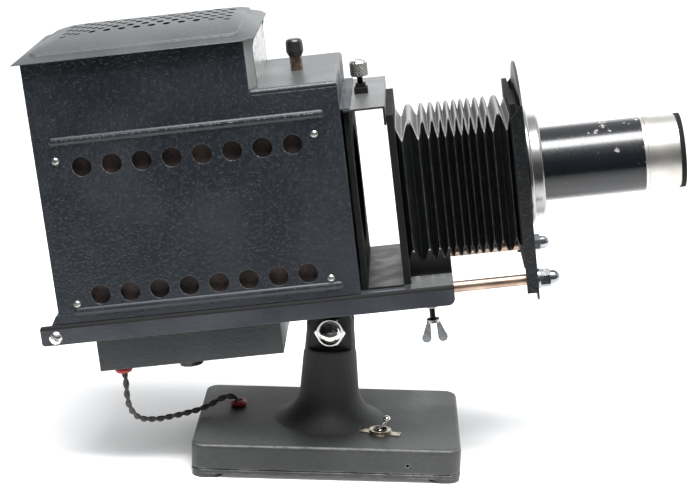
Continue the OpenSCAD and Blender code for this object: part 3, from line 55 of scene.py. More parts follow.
# Camera. The lantern was photographed from its left side, a little from above, with a long lens.
# Its yaw, pitch, roll and lens are fitted to the straight edges of the photograph.
image_width_px = 700
lens_px = 1938.0
sensor_width_mm = 36.0
camera_yaw = math.radians(0.934)
camera_pitch = math.radians(14.56)
camera_roll = math.radians(1.215)
camera_target = Vector((0.01564, 0.0, 0.18559))
camera_distance = 1.68826

scene = bpy.context.scene
camera_turn = Matrix.Rotation(camera_yaw, 4, "Z") @ Matrix.Rotation(math.pi / 2 - camera_pitch, 4, "X")
camera_turn = camera_turn @ Matrix.Rotation(camera_roll, 4, "Z")
camera_place = camera_target + camera_distance * camera_turn.col[2].to_3d()
camera_data = bpy.data.cameras.new("photograph")
camera_data.sensor_width = sensor_width_mm
camera_data.lens = lens_px / image_width_px * sensor_width_mm
camera = bpy.data.objects.new("photograph", camera_data)
camera.matrix_world = Matrix.Translation(camera_place) @ camera_turn
scene.collection.objects.link(camera)
scene.camera = camera


# Lamp lead. A limp cord of two strands in dark cotton braid, twisted together by hand.
# It leaves the box under the rail through a fibre bushing, sags, and enters the stand through another.
cord_points = [Vector(point) * mm for point in (
    (-175.1, -60, 93.8), (-174.1, -60, 86.3), (-172.8, -60, 76.3), (-172, -59.5, 64), (-169.5, -56, 51.5),
    (-162.5, -47.5, 40.5), (-150, -35.5, 35.5), (-138, -25, 34.5), (-126, -15, 34.5), (-115, -5.5, 35),
    (-106, 2.1, 37), (-99.2, 7.7, 39.8), (-92.5, 13.2, 41.1), (-87.2, 17.6, 39.6), (-83.7, 20.6, 35.3),
    (-82.2, 21.8, 29.6), (-82, 22, 26),
)]
cord_diameter = 5.4 * mm
cord_steps = 14
strand_radius = cord_diameter / 4
strand_sides = 12
twist_length = 19 * mm
braid_plaits = 4
braid_pitch = 3.2 * mm


def smooth_line(points, steps):
    """Points of one smooth curve through the given points, with that many steps between two of them."""
    last = len(points) - 1
    line = []
    for i in range(last):
        a, b, c, d = (points[max(0, min(last, k))] for k in (i - 1, i, i + 1, i + 2))
        for step in range(steps):
            u = step / steps
            bend = (2 * a - 5 * b + 4 * c - d) * u**2 + (3 * b - 3 * c + d - a) * u**3
            line.append((2 * b + (c - a) * u + bend) / 2)
    line.append(points[last])
    return line


def carried_frames(line):
    """Two directions across the line at each of its points, carried along without turning about it."""
    frames = []
    side = (line[1] - line[0]).cross(Vector((0.0, 1.0, 0.1)))
    for i in range(len(line)):
        along = (line[min(i + 1, len(line) - 1)] - line[max(i - 1, 0)]).normalized()
        side = (side - along * side.dot(along)).normalized()
        frames.append((side, along.cross(side)))
    return frames


def line_lengths(line):
    """Distance along the line of each of its points."""
    lengths = [0.0]
    for a, b in zip(line, line[1:]):
        lengths.append(lengths[-1] + (b - a).length)
    return lengths


def mesh_piece(name, points, faces, uvs=None):
    """A smooth mesh object of these points and faces, with a UV place for each point if they are given."""
    mesh = bpy.data.meshes.new(name)
    mesh.from_pydata([tuple(point) for point in points], [], faces)
    mesh.polygons.foreach_set("use_smooth", [True] * len(mesh.polygons))
    if uvs:
        layer = mesh.uv_layers.new(name="surface")
        for loop in mesh.loops:
            layer.data[loop.index].uv = uvs[loop.vertex_index]
    mesh.update()
    piece = bpy.data.objects.new(name, mesh)
    scene.collection.objects.link(piece)
    return piece


def ring_faces(rings, sides, first=0):
    """Quads between that many rings of points, each ring closed on itself."""
    faces = []
    for i in range(rings - 1):
        for k in range(sides):
            a = first + i * sides + k
            b = first + i * sides + (k + 1) % sides
            faces.append((a, b, b + sides, a + sides))
    return faces


def place(tree, kind, inputs=None, **settings):
    """A new node of that kind, with its settings, and its input sockets linked or set."""
    node = tree.nodes.new(kind)
    for name, value in settings.items():
        setattr(node, name, value)
    for socket, value in (inputs or {}).items():
        if isinstance(value, bpy.types.NodeSocket):
            tree.links.new(value, node.inputs[socket])
        else:
            node.inputs[socket].default_value = value
    return node


def blank_material(name, **values):
    """A new material, its node tree, and its Principled shader with these plain values set."""
    material = bpy.data.materials.new(name)
    material.use_nodes = True
    shader = material.node_tree.nodes["Principled BSDF"]
    for label, value in values.items():
        shader.inputs[label.replace("_", " ")].default_value = value
    return material, material.node_tree, shader


def connect(shader, **sources):
    """Links these sockets to the shader's inputs of the same names."""
    for label, source in sources.items():
        shader.id_data.links.new(source, shader.inputs[label.replace("_", " ")])


def object_place(tree):
    """Place on the surface, in metres, that moves with the piece."""
    return place(tree, "ShaderNodeTexCoord").outputs["Object"]


def calculate(operation, a, b=0.0):
    """Result of a Math node on two values, one or both of them sockets. It is put in the socket's tree."""
    socket = a if isinstance(a, bpy.types.NodeSocket) else b
    return place(socket.id_data, "ShaderNodeMath", {0: a, 1: b}, operation=operation).outputs[0]


def product(a, b):
    """Product of two values, one or both of them sockets."""
    return calculate("MULTIPLY", a, b)


def ripple(value, turns):
    """Sine of a value times that many turns, between -1 and 1."""
    return calculate("SINE", product(value, 2 * math.pi * turns))


def spread(value, low, high, to_low=0.0, to_high=1.0):
    """The value's stretch from low to high, moved smoothly to another stretch."""
    return place(value.id_data, "ShaderNodeMapRange", {
        "Value": value, "From Min": low, "From Max": high, "To Min": to_low, "To Max": to_high,
    }, interpolation_type="SMOOTHSTEP").outputs["Result"]


def opaque(tone):
    """The tone itself if it is a socket, else its three numbers with full alpha."""
    return tone if isinstance(tone, bpy.types.NodeSocket) else (*tone, 1)


def two_tone(factor, first, second):
    """Colour that goes from the first to the second with the factor."""
    inputs = {0: factor, 6: opaque(first), 7: opaque(second)}
    return place(factor.id_data, "ShaderNodeMix", inputs, data_type="RGBA").outputs[2]


def noise_field(where, scale, detail, rough=0.5, output="Fac"):
    """Noise with that many patches to the metre, which may be a socket."""
    return place(where.id_data, "ShaderNodeTexNoise", {
        "Vector": where, "Scale": scale, "Detail": detail, "Roughness": rough,
    }).outputs[output]


def clouds(where, size, detail=4.0, rough=0.5):
    """Noise whose patches are about that many metres wide."""
    return noise_field(where, 1 / size, detail, rough)


def relief_normal(height, strength, depth=0.2 * mm, fold=0.0, samples=4):
    """Normal of a surface with this relief, over edges that are rounded by the fold's radius."""
    inputs = {"Strength": strength, "Distance": depth, "Height": height}
    if fold:
        rounded = place(height.id_data, "ShaderNodeBevel", {"Radius": fold}, samples=samples)
        inputs["Normal"] = rounded.outputs["Normal"]
    return place(height.id_data, "ShaderNodeBump", inputs).outputs["Normal"]


def twisted_strands():
    """Cord's line, and points, faces and UV places of the two strands wound round it."""
    line = smooth_line(cord_points, cord_steps)
    lengths = line_lengths(line)
    points, faces, uvs = [], [], []
    for strand in range(2):
        centres = []
        for centre, length, (side, up) in zip(line, lengths, carried_frames(line)):
            turn = 2 * math.pi * length / twist_length + math.pi * strand
            centres.append(centre + strand_radius * (math.cos(turn) * side + math.sin(turn) * up))
        first = len(points)
        for centre, length, (side, up) in zip(centres, line_lengths(centres), carried_frames(centres)):
            for k in range(strand_sides):
                turn = 2 * math.pi * k / strand_sides
                points.append(centre + strand_radius * (math.cos(turn) * side + math.sin(turn) * up))
                uvs.append((abs(2 * k / strand_sides - 1), length / braid_pitch))
        faces += ring_faces(len(centres), strand_sides, first)
        faces.append(tuple(first + k for k in reversed(range(strand_sides))))
        faces.append(tuple(len(points) - strand_sides + k for k in range(strand_sides)))
    return line, points, faces, uvs


def braid_material():
    """Dark cotton braid with a fine plaited relief, faded to brown where it rubs."""
    material, tree, shader = blank_material("cotton braid", Roughness=0.82, Sheen_Weight=0.3)
    on_strand = place(tree, "ShaderNodeSeparateXYZ", {0: place(tree, "ShaderNodeUVMap").outputs["UV"]})
    across = product(on_strand.outputs["X"], braid_plaits)
    right_hand = ripple(calculate("ADD", across, on_strand.outputs["Y"]), 0.5)
    left_hand = ripple(calculate("SUBTRACT", across, on_strand.outputs["Y"]), 0.5)
    plait = spread(product(right_hand, left_hand), -0.7, 0.8)
    fade = clouds(object_place(tree), 11 * mm)
    thread = two_tone(plait, (0.010, 0.009, 0.009), (0.050, 0.043, 0.041))
    faded = two_tone(spread(fade, 0.5, 0.75), thread, (0.095, 0.072, 0.064))
    connect(shader, Base_Color=faded, Normal=relief_normal(plait, 0.7, 0.35 * mm))
    return material


cord_line, strand_points, strand_faces, strand_uvs = twisted_strands()
lamp_lead = mesh_piece("lamp_lead", strand_points, strand_faces, strand_uvs)
lamp_lead.data.materials.append(braid_material())
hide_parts("lamp_cord")
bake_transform(lamp_lead)


# Floor and light. A white sheet that is darker in front, a large soft lamp above and before the lantern,
# a pale ceiling and back, and a dark room on the photographer's side, as gloss and bright metal show them.
floor_half_width = 4.0
floor_front = -0.5
floor_white_from = -0.14
floor_back = 6.0
floor_front_tone = (0.30, 0.30, 0.30)
floor_glow = 0.12
lamp_middle = Vector((0.05, -0.46, 1.66))
lamp_width = 1.1
lamp_depth = 0.68
lamp_watts = 44.0
room_front = 0.12
room_back = 1.9
room_high = 0.85
room_low = 0.5
room_left = 0.25
lamp_halo = 4.0
room_tint = (0.97, 0.985, 1.0, 1)


def studio_world():
    """Room that lights the object unevenly, and that the camera sees as plain white."""
    world = bpy.data.worlds.new("studio")
    world.use_nodes = True
    tree = world.node_tree
    tree.nodes.clear()
    outward = place(tree, "ShaderNodeTexCoord").outputs["Generated"]
    direction = place(tree, "ShaderNodeSeparateXYZ", {0: outward})
    height = direction.outputs["Z"]
    front = spread(height, 0.2, 0.8, room_front, room_high)
    haze = spread(height, 0.04, 0.2, room_low, 1.0)
    back = product(haze, spread(height, 0.3, 0.6, room_back, room_high))
    behind = spread(direction.outputs["Y"], -0.25, 0.25)
    walls = place(tree, "ShaderNodeMix", {0: behind, 2: front, 3: back}).outputs[0]
    before = spread(direction.outputs["Y"], 0.05, -0.25)
    halo = product(before, spread(height, 0.66, 0.95, 0.0, lamp_halo))
    above_floor = spread(height, -0.25, -0.05, 0.2, 1.0)
    lens_side = spread(direction.outputs["X"], -0.7, 0.1, room_left, 1.0)
    sides = product(calculate("ADD", walls, halo), lens_side)
    strength = product(sides, above_floor)
    room = place(tree, "ShaderNodeBackground", {"Color": room_tint, "Strength": strength})
    white = place(tree, "ShaderNodeBackground", {"Color": (1, 1, 1, 1)})
    seen = place(tree, "ShaderNodeLightPath").outputs["Is Camera Ray"]
    either = place(tree, "ShaderNodeMixShader", {0: seen, 1: room.outputs[0], 2: white.outputs[0]})
    place(tree, "ShaderNodeOutputWorld", {"Surface": either.outputs[0]})
    return world


def paper_material():
    """White paper, lit a little from behind, and darker to the front in reflections only."""
    material, tree, shader = blank_material(
        "white paper", Roughness=0.9, Specular_IOR_Level=0.2,
        Emission_Color=(1, 1, 1, 1), Emission_Strength=floor_glow,
    )
    where = object_place(tree)
    cloud = clouds(where, 300 * mm, 2.0)
    white = two_tone(cloud, (0.90, 0.90, 0.90), (0.94, 0.94, 0.94))
    depth = place(tree, "ShaderNodeSeparateXYZ", {0: where}).outputs["Y"]
    seen = place(tree, "ShaderNodeLightPath").outputs["Is Camera Ray"]
    lit = calculate("MAXIMUM", spread(depth, floor_front, floor_white_from), seen)
    connect(shader, Base_Color=two_tone(lit, floor_front_tone, white))
    return material


floor = mesh_piece("floor", [
    (-floor_half_width, floor_front, 0), (floor_half_width, floor_front, 0),
    (floor_half_width, floor_back, 0), (-floor_half_width, floor_back, 0),
], [(0, 1, 2, 3)])
floor.data.materials.append(paper_material())
scene.world = studio_world()
scene.view_settings.view_transform = "Standard"

lamp_data = bpy.data.lights.new("soft_lamp", "AREA")
lamp_data.shape = "RECTANGLE"
lamp_data.size = lamp_width
lamp_data.size_y = lamp_depth
lamp_data.energy = lamp_watts
soft_lamp = bpy.data.objects.new("soft_lamp", lamp_data)
lamp_turn = (camera_target - lamp_middle).to_track_quat("-Z", "Y")
soft_lamp.matrix_world = Matrix.Translation(lamp_middle) @ lamp_turn.to_matrix().to_4x4()
scene.collection.objects.link(soft_lamp)


# Stand. One iron casting, a hollow foot with a flared pillar and a forked top, stove-enamelled dark grey.
# The enamel over the casting's coarse skin is rubbed paler along the edges and painted in shade round the
# pillar.
# Its rounded top edge is paler, from wear and a painted highlight.
def shader_group(name, inputs, outputs):
    """A new group with these inputs, given as name and first value, and these value outputs."""
    group = bpy.data.node_groups.new(name, "ShaderNodeTree")
    for label, value in inputs:
        socket = group.interface.new_socket(label, in_out="INPUT", socket_type="NodeSocketFloat")
        socket.default_value = value
    for label in outputs:
        group.interface.new_socket(label, in_out="OUTPUT", socket_type="NodeSocketFloat")
    return group, group.nodes.new("NodeGroupInput").outputs, group.nodes.new("NodeGroupOutput").inputs


def vector_math(operation, a, b=None, output=0):
    """Result of a Vector Math node on a socket, and on a second vector or socket if there is one."""
    inputs = {0: a} if b is None else {0: a, 1: b}
    return place(a.id_data, "ShaderNodeVectorMath", inputs, operation=operation).outputs[output]


def scaled(vector, amount):
    """Vector times the value of a socket."""
    inputs = {0: vector, "Scale": amount}
    return place(amount.id_data, "ShaderNodeVectorMath", inputs, operation="SCALE").outputs[0]


def dot(a, b):
    """Dot product of a socket and a second vector or socket."""
    return vector_math("DOT_PRODUCT", a, b, "Value")


def crinkle_group():
    """Crinkled enamel: round pebbles of many sizes. Size is a pebble's width in metres."""
    group, given, result = shader_group("crinkle", [("Size", 2.6 * mm)], ["Height", "Fleck_and_glint"])
    where = object_place(group)
    scale = calculate("DIVIDE", 1.0, given["Size"])
    drift = noise_field(where, scale, 2.0, output="Color")
    shift = vector_math("SUBTRACT", drift, (0.5, 0.5, 0.5))
    bent = vector_math("ADD", where, scaled(shift, given["Size"]))
    cells = place(group, "ShaderNodeTexVoronoi", {
        "Vector": bent, "Scale": scale, "Smoothness": 0.35,
    }, feature="SMOOTH_F1")
    pebble = spread(cells.outputs["Distance"], 0.75, 0.1)
    swell = noise_field(bent, product(scale, 0.6), 3.0)
    height = product(pebble, spread(swell, 0.25, 0.75, 0.35, 1.0))
    fleck_and_glint = spread(product(pebble, swell), 0.2, 0.6)
    group.links.new(height, result["Height"])
    group.links.new(fleck_and_glint, result["Fleck_and_glint"])
    return group


def edge_wear_group():
    """Mask of the edges where hands and table have rubbed the finish, broken up by a noise."""
    group, given, result = shader_group("edge wear", [("Reach", 1.2 * mm), ("Patch", 12 * mm)], ["Worn"])
    rounded = place(group, "ShaderNodeBevel", {"Radius": given["Reach"]}, samples=6).outputs["Normal"]
    plain = place(group, "ShaderNodeNewGeometry").outputs["Normal"]
    turned = dot(rounded, plain)
    scale = calculate("DIVIDE", 1.0, given["Patch"])
    patch = noise_field(object_place(group), scale, 6.0, 0.7)
    worn = product(spread(turned, 0.995, 0.86), spread(patch, 0.42, 0.62))
    group.links.new(worn, result["Worn"])
    return group


def handling_group():
    """Clouds and specks of dust and handling, between 0 and 1."""
    group, given, result = shader_group("handling", [("Patch", 60 * mm)], ["Cloud", "Specks"])
    where = object_place(group)
    scale = calculate("DIVIDE", 1.0, given["Patch"])
    cloud = noise_field(where, scale, 5.0)
    fine = noise_field(where, product(scale, 40.0), 2.0)
    group.links.new(spread(cloud, 0.3, 0.7), result["Cloud"])
    group.links.new(spread(fine, 0.66, 0.76), result["Specks"])
    return group


crinkle = crinkle_group()
edge_wear = edge_wear_group()
handling = handling_group()


def use_group(tree, group, **values):
    """Outputs of a shader group placed in a material with its own values."""
    return place(tree, "ShaderNodeGroup", values, node_tree=group).outputs


def enamel(name, dark, light, worn, pebble, relief, rough, reach=1.2 * mm, fleck_and_glint=0.15, fold=0.8 * mm):
    """Crinkled stove enamel in two tones, rubbed to a third at edges; pebble crowns paled by wear and a
    painted highlight.
    """
    material, tree, shader = blank_material(name)
    grain = use_group(tree, crinkle, Size=pebble)
    rub = use_group(tree, edge_wear, Reach=reach)
    hand = use_group(tree, handling)
    clouded = two_tone(hand["Cloud"], dark, light)
    # Pebble crowns paled toward the worn tone: wear, and a painted highlight of the grain.
    flecked_and_glinting = two_tone(product(grain["Fleck_and_glint"], fleck_and_glint), clouded, worn)
    rubbed = two_tone(rub["Worn"], flecked_and_glinting, worn)
    sheen = spread(hand["Cloud"], 0.0, 1.0, rough - 0.06, rough + 0.06)
    skin = relief_normal(grain["Height"], relief, 0.7 * mm, fold, samples=6)
    connect(shader, Base_Color=rubbed, Roughness=sheen, Normal=skin)
    return material


def looking(tree, direction):
    """How far each face looks along a direction, from -1 to 1."""
    flat = place(tree, "ShaderNodeTexCoord").outputs["Normal"]
    return dot(flat, direction)


def repaint(material, mask, tone):
    """Puts another tone over the material's colour where the mask is 1."""
    shader = material.node_tree.nodes["Principled BSDF"]
    paint = shader.inputs["Base Color"].links[0].from_socket
    connect(shader, Base_Color=two_tone(mask, paint, tone))


def roughen(material, mask, rough):
    """Gives the material this roughness where the mask is 1."""
    shader = material.node_tree.nodes["Principled BSDF"]
    sheen = shader.inputs["Roughness"].links[0].from_socket
    dulled = place(mask.id_data, "ShaderNodeMix", {0: mask, 2: sheen, 3: rough}).outputs[0]
    connect(shader, Roughness=dulled)


def beyond(value, limit):
    """1 where the value is past the limit on either side of zero, else 0."""
    return calculate("GREATER_THAN", calculate("ABSOLUTE", value), limit)


rim_width = 7 * mm
rim_wear_highlight_tone = (0.085, 0.085, 0.085)
# Painted shade round the pillar: full within the near distance of this middle, gone past the far one.
foot_shade_middle = Vector((-30 * mm, 0, 0))
foot_shade_near = 60 * mm
foot_shade_far = 145 * mm
foot_shade_tone = (0.007, 0.008, 0.007)
foot_shade_rough = 0.62


def rim_wear_and_highlight(material):
    """Pales the rounded top edge of the base: wear from handling, and a painted highlight."""
    tree = material.node_tree
    up = looking(tree, (0, 0, 1))
    rounded = product(spread(up, 0.4, 0.6), spread(up, 0.95, 0.8))
    base_width = max(abs(vertex.co.y) for vertex in nodes["base_casting"].data.vertices)
    outer = beyond(dot(object_place(tree), (0, 1, 0)), base_width - rim_width)
    patchy = spread(clouds(object_place(tree), 7 * mm, 4.0), 0.3, 0.6, 0.2, 1.0)
    worn = product(product(rounded, outer), patchy)
    repaint(material, worn, rim_wear_highlight_tone)


def paint_foot_shade(material):
    """Dulls the enamel round the pillar and darkens it there as painted shade under the head."""
    tree = material.node_tree
    offset = vector_math("SUBTRACT", object_place(tree), foot_shade_middle)
    level = vector_math("MULTIPLY", offset, (1, 1, 0))
    away = vector_math("LENGTH", level, output="Value")
    drift = product(clouds(object_place(tree), 14 * mm, 5.0, 0.65), 30 * mm)
    soiled = spread(calculate("ADD", away, drift), foot_shade_far, foot_shade_near)
    roughen(material, soiled, foot_shade_rough)
    repaint(material, soiled, foot_shade_tone)


def dress(material, *names):
    """Gives the material to these CAD nodes."""
    for name in names:
        mesh = nodes[name].data
        mesh.materials.clear()
        mesh.materials.append(material)


stand_enamel = enamel(
    "stand enamel", (0.014, 0.016, 0.016), (0.032, 0.033, 0.033), (0.26, 0.26, 0.26),
    pebble=2.8 * mm, relief=0.22, rough=0.44, reach=2.2 * mm, fleck_and_glint=0.05, fold=4 * mm,
)
# Painted shade round the pillar, under the head, where the enamel is also duller.
paint_foot_shade(stand_enamel)
# Paler rounded top edge: wear, and a painted highlight.
rim_wear_and_highlight(stand_enamel)
dress(stand_enamel, "base_casting", "base_plate")


# Bottom screws. Four cheese-head steel screws that hold the plate to the bosses inside the casting.
# Bare steel, dulled and spotted with rust, used again on the unpolished fasteners.
def metal(name, bright, dull, rough, patch=9 * mm, speck=0.0):
    """Bare or plated metal between a bright and a dull tone, with smudges, fine marks and dark specks."""
    material, tree, shader = blank_material(name, Metallic=1.0)
    hand = use_group(tree, handling, Patch=patch)
    where = object_place(tree)
    smudged = two_tone(hand["Cloud"], bright, dull)
    speckled = two_tone(product(hand["Specks"], speck), smudged, (0.03, 0.025, 0.02))
    sheen = spread(clouds(where, patch / 2), 0.3, 0.7, rough[0], rough[1])
    marked = relief_normal(clouds(where, 0.5 * mm, 3.0), 0.05, fold=0.4 * mm)
    connect(shader, Base_Color=speckled, Roughness=sheen, Normal=marked)
    return material


dull_steel = metal("dull steel", (0.50, 0.50, 0.49), (0.26, 0.25, 0.23), (0.3, 0.5), speck=0.6)
dress(dull_steel, "base_screws", "reflector_bracket", "rod_guides")


# Tilt joint. A steel bolt through the fork and the rail's lug, with a bright domed nut on the near side.
# The nut is nickel-plated and polished, and holds the head's tilt by friction.
bright_nickel = metal("bright nickel", (0.78, 0.78, 0.76), (0.60, 0.59, 0.56), (0.07, 0.15), speck=0.1)
dress(bright_nickel, "tilt_nut")
dress(dull_steel, "tilt_bolt")


# Switch. A toggle switch in the foot: a body inside, a brass plate with two tabs under a ring nut,
# and a short ball-ended lever. The brass has browned with age.
aged_brass = metal(
    "aged brass", (0.46, 0.41, 0.32), (0.24, 0.20, 0.15), (0.24, 0.42), patch=6 * mm, speck=0.5,
)
dress(aged_brass, "switch_plate", "switch_nut")
dress(bright_nickel, "toggle_lever")


# Moulded pieces. The switch body, the lamp clamp's knob and the handle's knob are pressed black plastic.
# It is dense and hard, still glossy in the hollows and dulled by hands on the crowns.
def moulded_plastic():
    """Pressed black plastic with a faint mould skin and a worn, uneven gloss."""
    material, tree, shader = blank_material("moulded plastic", IOR=1.55)
    hand = use_group(tree, handling, Patch=8 * mm)
    where = object_place(tree)
    tone = two_tone(hand["Cloud"], (0.010, 0.010, 0.011), (0.026, 0.025, 0.025))
    dusty = two_tone(product(hand["Specks"], 0.35), tone, (0.12, 0.11, 0.10))
    sheen = spread(clouds(where, 5 * mm), 0.3, 0.7, 0.2, 0.42)
    skin = relief_normal(clouds(where, 0.7 * mm), 0.08, fold=0.7 * mm)
    connect(shader, Base_Color=dusty, Roughness=sheen, Normal=skin)
    return material


dress(moulded_plastic(), "switch_body", "lamp_knob", "handle_knob")


# Bushings. Turned rings of red vulcanised fibre, sprung into the holes where the leads pass through metal.
# The fibre is matt and layered, darker where it is soiled.
def fibre_material():
    """Red fibre with short layered streaks and soiled patches."""
    material, tree, shader = blank_material("red fibre", Roughness=0.5)
    where = object_place(tree)
    layered = place(tree, "ShaderNodeMapping", {"Vector": where, "Scale": (1.0, 1.0, 6.0)})
    streak = clouds(layered.outputs["Vector"], 1.5 * mm, 5.0)
    soil = clouds(where, 6 * mm)
    red = two_tone(streak, (0.17, 0.007, 0.010), (0.40, 0.022, 0.026))
    soiled = two_tone(spread(soil, 0.5, 0.75), red, (0.07, 0.010, 0.010))
    connect(shader, Base_Color=soiled, Normal=relief_normal(streak, 0.2))
    return material


dress(fibre_material(), "base_bushing", "inlet_bushing", "box_bushing")


# Rail. A long channel folded from steel sheet, open below, with the tilt lug riveted under it.
# Its blue-grey enamel is smoother than the house's, which hinges on two nickelled screws at the rear.
rail_enamel = enamel(
    "rail enamel", (0.036, 0.039, 0.046), (0.050, 0.054, 0.061), (0.085, 0.090, 0.095),
    pebble=3.2 * mm, relief=0.08, rough=0.2, reach=0.7 * mm, fleck_and_glint=0.08, fold=0.6 * mm,
)
dress(rail_enamel, "rail", "tilt_lug")
dress(bright_nickel, "pivot_screws")


# Stage floor. A plate of bare steel on the rail, which the slide carrier stands on.
# It is dull and browned in patches, with a few dark specks.
dress(metal(
    "scraped steel", (0.10, 0.10, 0.095), (0.065, 0.062, 0.056), (0.4, 0.5), patch=28 * mm, speck=0.15,
), "stage_floor")


# Wiring box. A shallow tray of thin sheet under the rail, which holds the lamp's connections and its clamp.
# Its enamel is darker and rougher than the rail's.
dress(enamel(
    "box enamel", (0.020, 0.023, 0.025), (0.031, 0.034, 0.037), (0.10, 0.105, 0.11),
    pebble=3.0 * mm, relief=0.12, rough=0.42, fleck_and_glint=0.08,
), "wiring_box")


# Lamp. A large projector bulb in a ceramic socket, with a brass screw base and a silvered mirror behind it.
# The socket is white porcelain with a thin glaze, and the mirror is spun and silvered.
def porcelain_material():
    """White porcelain with a faint yellowing and fine crackle in its glaze."""
    material, tree, shader = blank_material("porcelain", Coat_Weight=0.6, Coat_Roughness=0.1)
    where = object_place(tree)
    age = clouds(where, 14 * mm)
    cells = {"Vector": where, "Scale": 320.0}
    crackle = place(tree, "ShaderNodeTexVoronoi", cells, feature="DISTANCE_TO_EDGE").outputs["Distance"]
    tone = two_tone(age, (0.78, 0.75, 0.68), (0.66, 0.60, 0.50))
    crazed = two_tone(spread(crackle, 0.03, 0.0), tone, (0.40, 0.34, 0.26))
    connect(shader, Base_Color=crazed, Roughness=spread(age, 0.3, 0.7, 0.25, 0.45))
    return material


dust_shade = 0.86


def glass_material(name, tint, haze):
    """Clear glass with a little dust on it."""
    material, tree, shader = blank_material(name, Transmission_Weight=1.0, IOR=1.52)
    where = object_place(tree)
    dust = spread(clouds(where, 25 * mm, 6.0, 0.6), 0.4, 0.8)
    dusty = [dust_shade * part for part in tint]
    connect(shader, Base_Color=two_tone(dust, tint, dusty),
            Roughness=spread(dust, 0.0, 1.0, 0.01, haze))
    return material


dress(metal(
    "silvered mirror", (0.92, 0.92, 0.90), (0.80, 0.79, 0.76), (0.03, 0.1), patch=30 * mm, speck=0.1,
), "reflector")
dress(porcelain_material(), "lamp_socket")
dress(aged_brass, "lamp_base")
dress(glass_material("bulb glass", (0.96, 0.97, 0.97), 0.05), "lamp_bulb")


# Lamp house. Sides, back, front, shelf and cap folded from sheet iron, spot-welded and stove-enamelled.
# The enamel is a dark blue-grey with a leather-like crinkle, which fades toward the foot of the sides.
# The cap and the shelf are smoother, and the cap is pressed to an even curve, with painted shade in its
# holes.
house_enamel = enamel(
    "house enamel", (0.012, 0.0155, 0.021), (0.0165, 0.0205, 0.0265), (0.050, 0.060, 0.070),
    pebble=2.6 * mm, relief=0.72, rough=0.43, fleck_and_glint=0.14, fold=1.2 * mm,
)
dress(house_enamel, "house_rear", "house_front_wall", "hinge_straps")
side_enamel = house_enamel.copy()
cap_enamel = enamel(
    "cap enamel", (0.037, 0.042, 0.045), (0.057, 0.062, 0.065), (0.14, 0.15, 0.15),
    pebble=2.4 * mm, relief=0.2, rough=0.38, reach=0.5 * mm, fleck_and_glint=0.1, fold=1.5 * mm,
)
# Radii of the cap's curve along the rail and across it, and how far in from its rim the vents begin.
crown_along = 650 * mm
crown_across = 266 * mm
vents_in = 20 * mm
shoulder_highlight_tone = (0.15, 0.16, 0.165)
vent_shade_tone = (0.006, 0.006, 0.006)
strip_highlight_tone = (0.17, 0.175, 0.175)
lip_shade_tone = (0.013, 0.017, 0.022)
rail_axis = Vector(joints["front_slide"]["axis"])
rail_up = rail_axis.cross(Vector((0, 1, 0)))


def press_cap(material):
    """Curves the cap's top evenly both ways, paints shade on the vents' walls and a highlight on the
    panel's shoulder.
    """
    tree = material.node_tree
    shader = tree.nodes["Principled BSDF"]
    corners = [Vector(corner) for corner in nodes["vent_cap"].bound_box]
    middle = sum(corners, Vector()) / len(corners)
    offset = vector_math("SUBTRACT", object_place(tree), middle)
    along = dot(offset, rail_axis / crown_along)
    across = dot(offset, Vector((0, 1, 0)) / crown_across)
    lean = vector_math("ADD", scaled(rail_axis, along), scaled((0, 1, 0), across))
    crown = vector_math("NORMALIZE", vector_math("ADD", lean, rail_up))
    curved = place(tree, "ShaderNodeVectorTransform", {0: crown}, vector_type="NORMAL",
                   convert_from="OBJECT", convert_to="WORLD").outputs[0]
    upright = spread(looking(tree, rail_up), 0.9, 0.75)
    plain = place(tree, "ShaderNodeNewGeometry").outputs["Normal"]
    even = place(tree, "ShaderNodeMix", {0: upright, 4: curved, 5: plain}, data_type="VECTOR").outputs[1]
    bump = shader.inputs["Normal"].links[0].from_node
    rounding = vector_math("SUBTRACT", bump.inputs["Normal"].links[0].from_socket, plain)
    pressed = vector_math("NORMALIZE", vector_math("ADD", even, rounding))
    tree.links.new(pressed, bump.inputs["Normal"])
    arms = [vertex.co - middle for vertex in nodes["vent_cap"].data.vertices]
    half_along = max(abs(arm.dot(rail_axis)) for arm in arms) - vents_in
    half_across = max(abs(arm.y) for arm in arms) - vents_in
    past_end = beyond(along, half_along / crown_along)
    past_side = beyond(across, half_across / crown_across)
    outside = calculate("MAXIMUM", past_end, past_side)
    shoulder_highlight = product(upright, outside)
    vent_shade = calculate("SUBTRACT", upright, shoulder_highlight)
    # Painted highlight on the panel's shoulder, and painted shade, black and metallic, on the vents' walls.
    repaint(material, shoulder_highlight, shoulder_highlight_tone)
    repaint(material, vent_shade, vent_shade_tone)
    connect(shader, Metallic=vent_shade)


press_cap(cap_enamel)
dress(cap_enamel, "vent_cap")
shelf_enamel = enamel(
    "shelf enamel", (0.034, 0.037, 0.040), (0.056, 0.059, 0.061), (0.15, 0.16, 0.16),
    pebble=2.6 * mm, relief=0.2, rough=0.35, fleck_and_glint=0.1, fold=1.4 * mm,
)
# Levels between which the grain of the sides fades, measured along the rail's upright direction.
grain_low = 140 * mm
grain_high = 260 * mm


def calm_grain(material):
    """Flattens the enamel's grain on the pressed beads, and fades it toward the foot of the sides."""
    tree = material.node_tree
    bump = tree.nodes["Principled BSDF"].inputs["Normal"].links[0].from_node
    flat = spread(calculate("ABSOLUTE", looking(tree, (0, 1, 0))), 0.93, 0.99)
    level = dot(object_place(tree), rail_up)
    full = product(flat, spread(level, grain_low, grain_high, 0.35, 1.0))
    grain = bump.inputs["Height"].links[0].from_socket
    tree.links.new(product(grain, full), bump.inputs["Height"])


def shade_sides(material, tone):
    """Paints shade: another tone on the faces that look to the near side and the far side."""
    sideways = calculate("ABSOLUTE", looking(material.node_tree, (0, 1, 0)))
    repaint(material, spread(sideways, 0.5, 0.75), tone)


